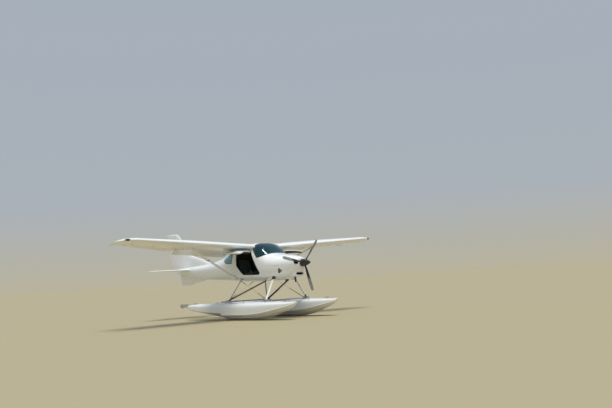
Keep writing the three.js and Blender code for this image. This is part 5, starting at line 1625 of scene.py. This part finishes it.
screws_tree = set_out_tree("screw_heads", {"Radius": "Float", "Height": "Float", "Sides": "Int"},
                           screw_head, False)
split_spots = []
for k in range(7):
    y = FIREWALL_Y - 0.1 - k * FASTENER_SPACING
    for z in (COWL_SPLIT_Z + 0.016, COWL_SPLIT_Z - 0.016):
        split_spots.append((skin_at(y, z), skin_way(y, z)))
fastener_spots = ring_spots(FIREWALL_Y - 0.018, 44) + on_both_sides(split_spots)
dress(screws(fastener_spots, FASTENER_RADIUS, FASTENER_HEIGHT, bare_alloy), "cowl_fasteners", bare_alloy)
louvre = edge_strip(-2.5, -2.3, LOUVRE, 0.006, 0.003, 0.004, 0.005, 0.006)
keep(louvre, block((-0.6, -2.52, 1.15), (0.6, -2.28, 1.385)))
dress(louvre, "cowl_louvre_rims", black_rubber, sharp=40)
louvre_y, louvre_z = (sum(corner[k] for corner in LOUVRE) / 3 for k in (0, 1))
ramp_faces = [[], []]
for (y, z), depth in zip(LOUVRE, RAMP_DEPTHS):
    y, z = y + (y - louvre_y) * RAMP_OVERLAP, z + (z - louvre_z) * RAMP_OVERLAP
    for face, thickness in zip(ramp_faces, (0, RAMP_THICKNESS)):
        face.append(skin_at(y, z) - skin_way(y, z) * (depth + thickness))
ramp = loft(ramp_faces)
dress(gathered(ramp, mirrored(ramp)), "louvre_ramps", white_gelcoat)
core_fins = []
for k in range(RADIATOR_FINS):
    core_fins.append(((-0.15 + 0.3 * k / (RADIATOR_FINS - 1), RADIATOR_Y, 1.186), (1, 0, 0), (0, 0, 1)))
core = set_out("core", bars_tree, core_fins, Width=0.06, Length=0.1, Height=0.0022, Finish=engine_metal)
tanks = [softened(block((-0.156, RADIATOR_Y - 0.034, z), (0.156, RADIATOR_Y + 0.034, z + 0.014)), 0.004)
         for z in (1.134, 1.232)]
dress(gathered(core, *tanks), "radiator", engine_metal)
mesh_bars = []
for side in (1, -1):
    for k in range(9):
        off = -0.04 + 0.08 * k / 8
        mesh_bars.append(((side * INLET_X + off, NOSE_Y + 0.105, INLET_Z), (0, -1, 0), (0, 0, 1)))
        mesh_bars.append(((side * INLET_X, NOSE_Y + 0.108, INLET_Z + off), (0, -1, 0), (1, 0, 0)))
inlet_mesh = set_out("mesh", bars_tree, mesh_bars, Width=0.0024, Length=0.112, Height=0.0024,
                     Finish=black_paint)
dress(inlet_mesh, "inlet_mesh", black_paint)
pipe = path_tube([(0.11, -2.2, 1.13), (0.112, -2.17, 1.075), (0.114, -2.12, 1.03), (0.115, -2.06, 1.012)],
                 0.02, resolution=6)
dress(pipe, "exhaust_pipe", engine_metal)

# Thin steel wires cross between the struts, from eyes under the body to the opposite deck shoes, with black
# turnbuckle sleeves near their ends. Black plates bolted through the shell take the heads of the struts.
WIRE_RADIUS, SLEEVE_RADIUS = 0.0028, 0.0078
# place on the body, place at the opposite shoe, the stretches from the shoe that are sleeved, for one of
# each pair
WIRES = [
    ((0.38, -2.08, 1.11), (-0.7, -2.16, 0.512), [(0.03, 0.48)]),
    ((0.29, -0.61, 1.075), (-0.715, -0.505, 0.512), [(0.04, 0.3), (0.78, 0.97)]),
]
# the water rudders' cable, from the rear shoe to the body, and the stay of the nose leg's stub
CABLE = ((0.7, -0.62, 0.515), (0.33, -1.99, 1.092))
STUB_STAY = ((0, STUB_Y, 1.03), (0.385, -2.0, 1.04))
# middle of each strut's head plate on the left-hand skin, length, width
HEAD_PLATES = [((-2.092, 1.104), 0.12, 0.06), ((-0.842, 1.112), 0.09, 0.05)]
BOLT_RADIUS, BOLT_HEIGHT, CUFF_LENGTH, WHITE_CUFF_LENGTH = 0.008, 0.008, 0.085, 0.2


def surface_of(piece):
    """A finished piece's faces, to be searched."""
    return BVHTree.FromPolygons([v.co for v in piece.data.vertices],
                                [p.vertices for p in piece.data.polygons])


def touch(surface, start, way):
    """The first place on a surface along a line, and the way that the surface faces there."""
    spot, out, _, _ = surface.ray_cast(Vector(start), Vector(way).normalized())
    return spot, out


cabin_surface, cowl_surface = surface_of(cabin), surface_of(lower_cowl)
wires, sleeves, barrels = [], [], []
for start, end, sleeved in WIRES:
    for side in (1, -1):
        a, b = Vector((side * start[0], *start[1:])), Vector((side * end[0], *end[1:]))
        wires.append(rod(a, b, WIRE_RADIUS, sides=12))
        sleeves += [rod(b.lerp(a, low), b.lerp(a, high), SLEEVE_RADIUS, sides=12) for low, high in sleeved]
        barrels.append(softened(block((-0.012, -0.02, -0.004), (0.012, 0.02, 0.03), a), 0.004))
cable = rod(*CABLE, WIRE_RADIUS, sides=12)
wires += [cable, mirrored(cable)]
dress(gathered(*wires), "bracing_wires", bare_alloy)
dress(gathered(*sleeves, rod(*STUB_STAY, SLEEVE_RADIUS, sides=12)), "wire_sleeves", black_paint)
plates, plate_bolts = [], []
for (y, z), length, width in HEAD_PLATES:
    at, out = touch(cabin_surface if y > FIREWALL_Y else cowl_surface, (0.9, y, z), (-1, 0, 0))
    plate = block((-width / 2, -length / 2, -0.006), (width / 2, length / 2, 0.006))
    plates.append(standing(softened(plate, 0.004), at, out))
    for u in (-0.36, 0, 0.36):
        for side in (-1, 1):
            shift = Vector((0, u * length, side * width * 0.32 * abs(out.x)))
            plate_bolts.append((at + shift + out * 0.006 + Vector((-side * width * 0.32 * out.z, 0, 0)), out))
(front_pad, front_drop), (diagonal_pad, diagonal_drop), _ = strut_lines
cuff = streamlined(front_pad - front_drop * 0.03, front_pad + front_drop * CUFF_LENGTH, 0.094, 0.052)
white_cuff = streamlined(diagonal_pad, diagonal_pad + diagonal_drop * WHITE_CUFF_LENGTH, 0.043, 0.039)
dress(gathered(white_cuff, mirrored(white_cuff)), "diagonal_strut_cuffs", white_gelcoat)
left_plates = gathered(cuff, *plates)
eyes = gathered(*barrels)
dress(gathered(left_plates, mirrored(left_plates), eyes), "strut_head_plates", black_paint)
shoe_bolts = []
for foot in (FRONT_FOOT, REAR_FOOT):
    for side in (1, -1):
        for x in (-0.064, 0.014):
            for y in (-0.062, 0.062):
                shoe_bolts.append((Vector((side * (foot.x + x), foot.y + y, foot.z + LUG_RISE + 0.003)),
                                   (0, 0, 1)))
        for x in (-SHOE_INBOARD + 0.008, SHOE_OUTBOARD - 0.012):
            for y in (-SHOE_HALF + 0.011, 0, SHOE_HALF - 0.011):
                shoe_bolts.append((Vector((side * (foot.x + x), foot.y + y, foot.z - 0.006)), (0, 0, 1)))
bolts = screws(on_both_sides(plate_bolts) + shoe_bolts, BOLT_RADIUS, BOLT_HEIGHT, bare_alloy, 6)
dress(bolts, "strut_bolts", engine_metal)
GUSSET = [(-0.086, 0.02), (-0.04, 0.1), (-0.022, 0.1), (-0.01, 0.02)]
gusset = side_prism([(FRONT_FOOT.y + a, FRONT_FOOT.z + b) for a, b in GUSSET], 0.69, 0.704)
mirror_pair(softened(gusset, 0.003), "front_shoe_gusset", black_paint)

# Each float has round inspection covers, a mooring cleat fore and aft, a row of pump-out plugs, a pale
# non-slip walkway between the struts and low spray rails under the bow. Lines lift the water rudders.
COVERS = [(-2.68, 0.0), (-1.35, 0.06), (-0.16, 0.0), (0.64, 0.0)]
COVER_RADIUS, COVER_HEIGHT, COVER_SCREWS = 0.07, 0.007, 8
PLUGS = [-2.9, -2.45, -1.7, -0.96, -0.25, 0.35]
CLEATS = [-2.96, 0.9]
WALKWAY_START, WALKWAY_END, WALKWAY_STRIPS = -1.99, -0.78, 44
float_surface = surface_of(hull)
covers, handles, cover_screws, plugs, cleats = [], [], [], [], []


def on_deck(x, y):
    """A place on the left-hand float's deck and the way that the deck faces."""
    return touch(float_surface, (FLOAT_X + x, y, 0.8), (0, 0, -1))


for y, x in COVERS:
    at, out = on_deck(x, y)
    cover = rod((0, 0, -0.004), (0, 0, COVER_HEIGHT), COVER_RADIUS, COVER_RADIUS - 0.003, 40)
    covers.append(standing(softened(cover, 0.002), at, out))
    handle = block((-0.03, -0.007, COVER_HEIGHT - 0.001), (0.03, 0.007, COVER_HEIGHT + 0.006))
    handles.append(standing(softened(handle, 0.003), at, out))
    for k in range(COVER_SCREWS):
        turn = (k + 0.5) / COVER_SCREWS * tau
        side = Vector((cos(turn), sin(turn), 0)) * (COVER_RADIUS - 0.012)
        cover_screws.append((at + side + out * (COVER_HEIGHT + 0.0004) - out * side.dot(out), out))
for y in PLUGS:
    half = smooth(FOREBODY if y < STEP_Y else AFTERBODY, 1, y)
    at, out = on_deck(-half * 0.72, y)
    plugs.append(standing(softened(rod((0, 0, -0.003), (0, 0, 0.009), 0.015, 0.013, 24), 0.002), at, out))
for y in CLEATS:
    at, out = on_deck(0, y)
    foot = softened(block((-0.02, -0.04, -0.004), (0.02, 0.04, 0.005)), 0.003)
    posts = [rod((0, shift, 0), (0, shift, 0.03), 0.007, sides=16) for shift in (-0.018, 0.018)]
    horn = [(0, -0.072, 0.038), (0, -0.045, 0.034), (0, 0, 0.032), (0, 0.045, 0.034), (0, 0.072, 0.038)]
    for piece in (foot, *posts, path_tube(horn, 0.008, resolution=4)):
        cleats.append(standing(piece, at, out))
strips = []
for k in range(WALKWAY_STRIPS):
    for x in (-0.072, -0.024, 0.024, 0.072):
        at, out = on_deck(x, WALKWAY_START + (WALKWAY_END - WALKWAY_START) * k / (WALKWAY_STRIPS - 1))
        strips.append((at + out * 0.0008, out, (1, 0, 0)))
walkway = set_out("walkway", bars_tree, strips, Width=0.014, Length=0.04, Height=0.0024, Finish=float_gelcoat)
mirror_pair(gathered(*covers, walkway), "deck_covers_and_walkway", float_gelcoat)
mirror_pair(gathered(*handles, *plugs), "deck_plugs_and_grips", black_rubber, sharp=40)
mirror_pair(gathered(*cleats), "mooring_cleats", bare_alloy)
mirror_pair(screws(cover_screws, 0.005, 0.002, bare_alloy), "cover_bolts", bare_alloy)
rails = []
for share in (0.5, 1.0):
    for side in (1, -1):
        line = []
        for k in range(24):
            y = -3.2 + (STEP_Y + 3.2) * k / 23
            half, deck, chine, keel = (smooth(FOREBODY, c, y) for c in range(1, 5))
            z = chine if share == 1.0 else keel + (chine - keel) * 0.44
            line.append((FLOAT_X + side * half * share, y, z))
        rails.append(path_tube(line, 0.007, resolution=2))
mirror_pair(gathered(*rails), "spray_rails", float_gelcoat, sharp=50)
lift_line = []
for k in range(16):
    y = WATER_RUDDER_Y - 0.05 - (WATER_RUDDER_Y - 0.05 - REAR_FOOT.y - 0.1) * k / 15
    at, out = on_deck(-0.03, min(y, STERN_Y - 0.02))
    lift_line.append((at.x, y, at.z + 0.014))
guides = [softened(block((-0.008, -0.006, -0.018), (0.008, 0.006, 0.006), p), 0.002) for p in lift_line[2::5]]
mirror_pair(gathered(path_tube(lift_line, 0.0022, resolution=1), *guides), "rudder_lift_line", bare_alloy)

# The wing carries a fuel cap over each root, hinge brackets for the flap and aileron, round inspection
# plates and a tie-down ring underneath, a pitot tube under the left wing, and a black base in each tip
# light.
BRACKETS = [(0.8, "flap"), (1.5, "flap"), (2.25, "flap"), (2.62, "aileron"), (3.3, "aileron"),
            (3.98, "aileron")]
INSPECTION = [(1.05, 0.52), (2.6, 0.58), (3.3, 0.58), (4.0, 0.55)]
CAP_AT, RING_AT, PITOT_X = (0.86, -1.13), (2.62, -1.02), 3.05
wing_surface = surface_of(wing)


def under_wing(x, y):
    return touch(wing_surface, (x, y, 1.2), (0, 0, 1))


fittings, plates_under, plate_screws = [], [], []
for x, kind in BRACKETS:
    share = FLAP_HINGE if kind == "flap" else AILERON_HINGE
    hinge_at, radius = wing_spot(x, share)
    front_at, _ = under_wing(x, hinge_at.y - 0.15)
    back_at, _ = under_wing(x, hinge_at.y - radius - 0.02)
    outline = [(front_at.y, front_at.z + 0.004), (back_at.y, back_at.z + 0.004),
               (back_at.y + 0.006, back_at.z - 0.014), (back_at.y - 0.03, back_at.z - 0.024)]
    fittings.append(softened(side_prism(outline, x - 0.004, x + 0.004), 0.0015))
    pin_at = (x, back_at.y - 0.008, back_at.z - 0.012)
    fittings.append(rod((-0.01, 0, 0), (0.01, 0, 0), 0.005, sides=16, at=pin_at))
ring_at, ring_out = under_wing(*RING_AT)
loop = [(0.016 * c, 0, 0.016 + 0.016 * s) for c, s in circle(20)]
ring = standing(path_tube(loop, 0.003, closed=True), ring_at, ring_out)
mirror_pair(ring, "tie_down_ring", bare_alloy)
mirror_pair(gathered(*fittings), "hinge_brackets", white_gelcoat)
for x, share in INSPECTION:
    middle, _ = wing_spot(x, share)
    at, out = under_wing(x, middle.y)
    plate = rod((0, 0, -0.004), (0, 0, 0.0016), 0.055, sides=40)
    plates_under.append(standing(softened(plate, 0.0008), at, out))
    for c, s in circle(6):
        side = Vector((c, s, 0)) * 0.045
        plate_screws.append((at + side - out * side.dot(out) + out * 0.0016, out))
mirror_pair(gathered(*plates_under), "inspection_plates", white_gelcoat)
cap_at, cap_out = touch(wing_surface, (*CAP_AT, 2.6), (0, 0, -1))
cap = standing(softened(rod((0, 0, -0.006), (0, 0, 0.01), 0.042, 0.038, 40), 0.003), cap_at, cap_out)
cap_tab = standing(softened(block((-0.008, -0.03, 0.008), (0.008, 0.03, 0.015)), 0.003), cap_at, cap_out)
mirror_pair(gathered(cap, cap_tab, screws(plate_screws, 0.005, 0.002, bare_alloy)), "fuel_cap_and_screws",
            bare_alloy)
pitot_at, _ = under_wing(PITOT_X, -1.3)
pitot_line = [(0, 0, 0.01), (0, -0.01, -0.05), (0, -0.04, -0.07), (0, -0.24, -0.074)]
pitot = path_tube([pitot_at + Vector(p) for p in pitot_line], 0.006, resolution=4)
dress(pitot, "pitot_tube", bare_alloy)
lamp_base = rod((LIGHT_X + 0.02, -1.42, light_z), (LIGHT_X + 0.07, -1.372, light_z), 0.024, 0.03, 24)
mirror_pair(softened(lamp_base, 0.003), "tip_lamp_base", black_rubber, sharp=40)
clamp_at = STRUT_LOW.lerp(STRUT_HIGH, 0.6)
half_clamp = (STRUT_HIGH - STRUT_LOW).normalized() * 0.011
clamp = streamlined(clamp_at - half_clamp, clamp_at + half_clamp, STRUT_CHORD + 0.006,
                    STRUT_THICKNESS + 0.008)
mirror_pair(clamp, "wing_stay_clamp", black_rubber, sharp=40)

# Small metal hinges carry the rudder, and a ring on a plate under the tail takes a mooring line.
RUDDER_HINGES = [1.56, 1.9, 2.24]
tail_metal = []
for z in RUDDER_HINGES:
    y = hinge_y(z)
    tail_metal.append(softened(block((-0.004, y - 0.06, z - 0.01),
                                     (0.004, y - RUDDER_NOSE_RADIUS - 0.012, z + 0.01)), 0.001))
tail_spot, tail_out = touch(surface_of(tube), (0, 2.52, 1.0), (0, 0, 1))
tail_metal.append(standing(softened(block((-0.014, -0.034, -0.004), (0.014, 0.034, 0.006)), 0.002),
                           tail_spot, tail_out))
tail_loop = [(0, 0.018 * c, 0.02 + 0.018 * s) for c, s in circle(20)]
tail_metal.append(standing(path_tube(tail_loop, 0.004, closed=True), tail_spot, tail_out))
dress(gathered(*tail_metal), "tail_fittings", black_paint)
tailplane_surface = surface_of(tailplane)
root_spots = on_both_sides([touch(tailplane_surface, (0.19, y, 2.0), (0, 0, -1)) for y in (2.02, 2.16, 2.3)])
dress(screws(root_spots, 0.007, 0.0018, bare_alloy), "tailplane_screws", bare_alloy)
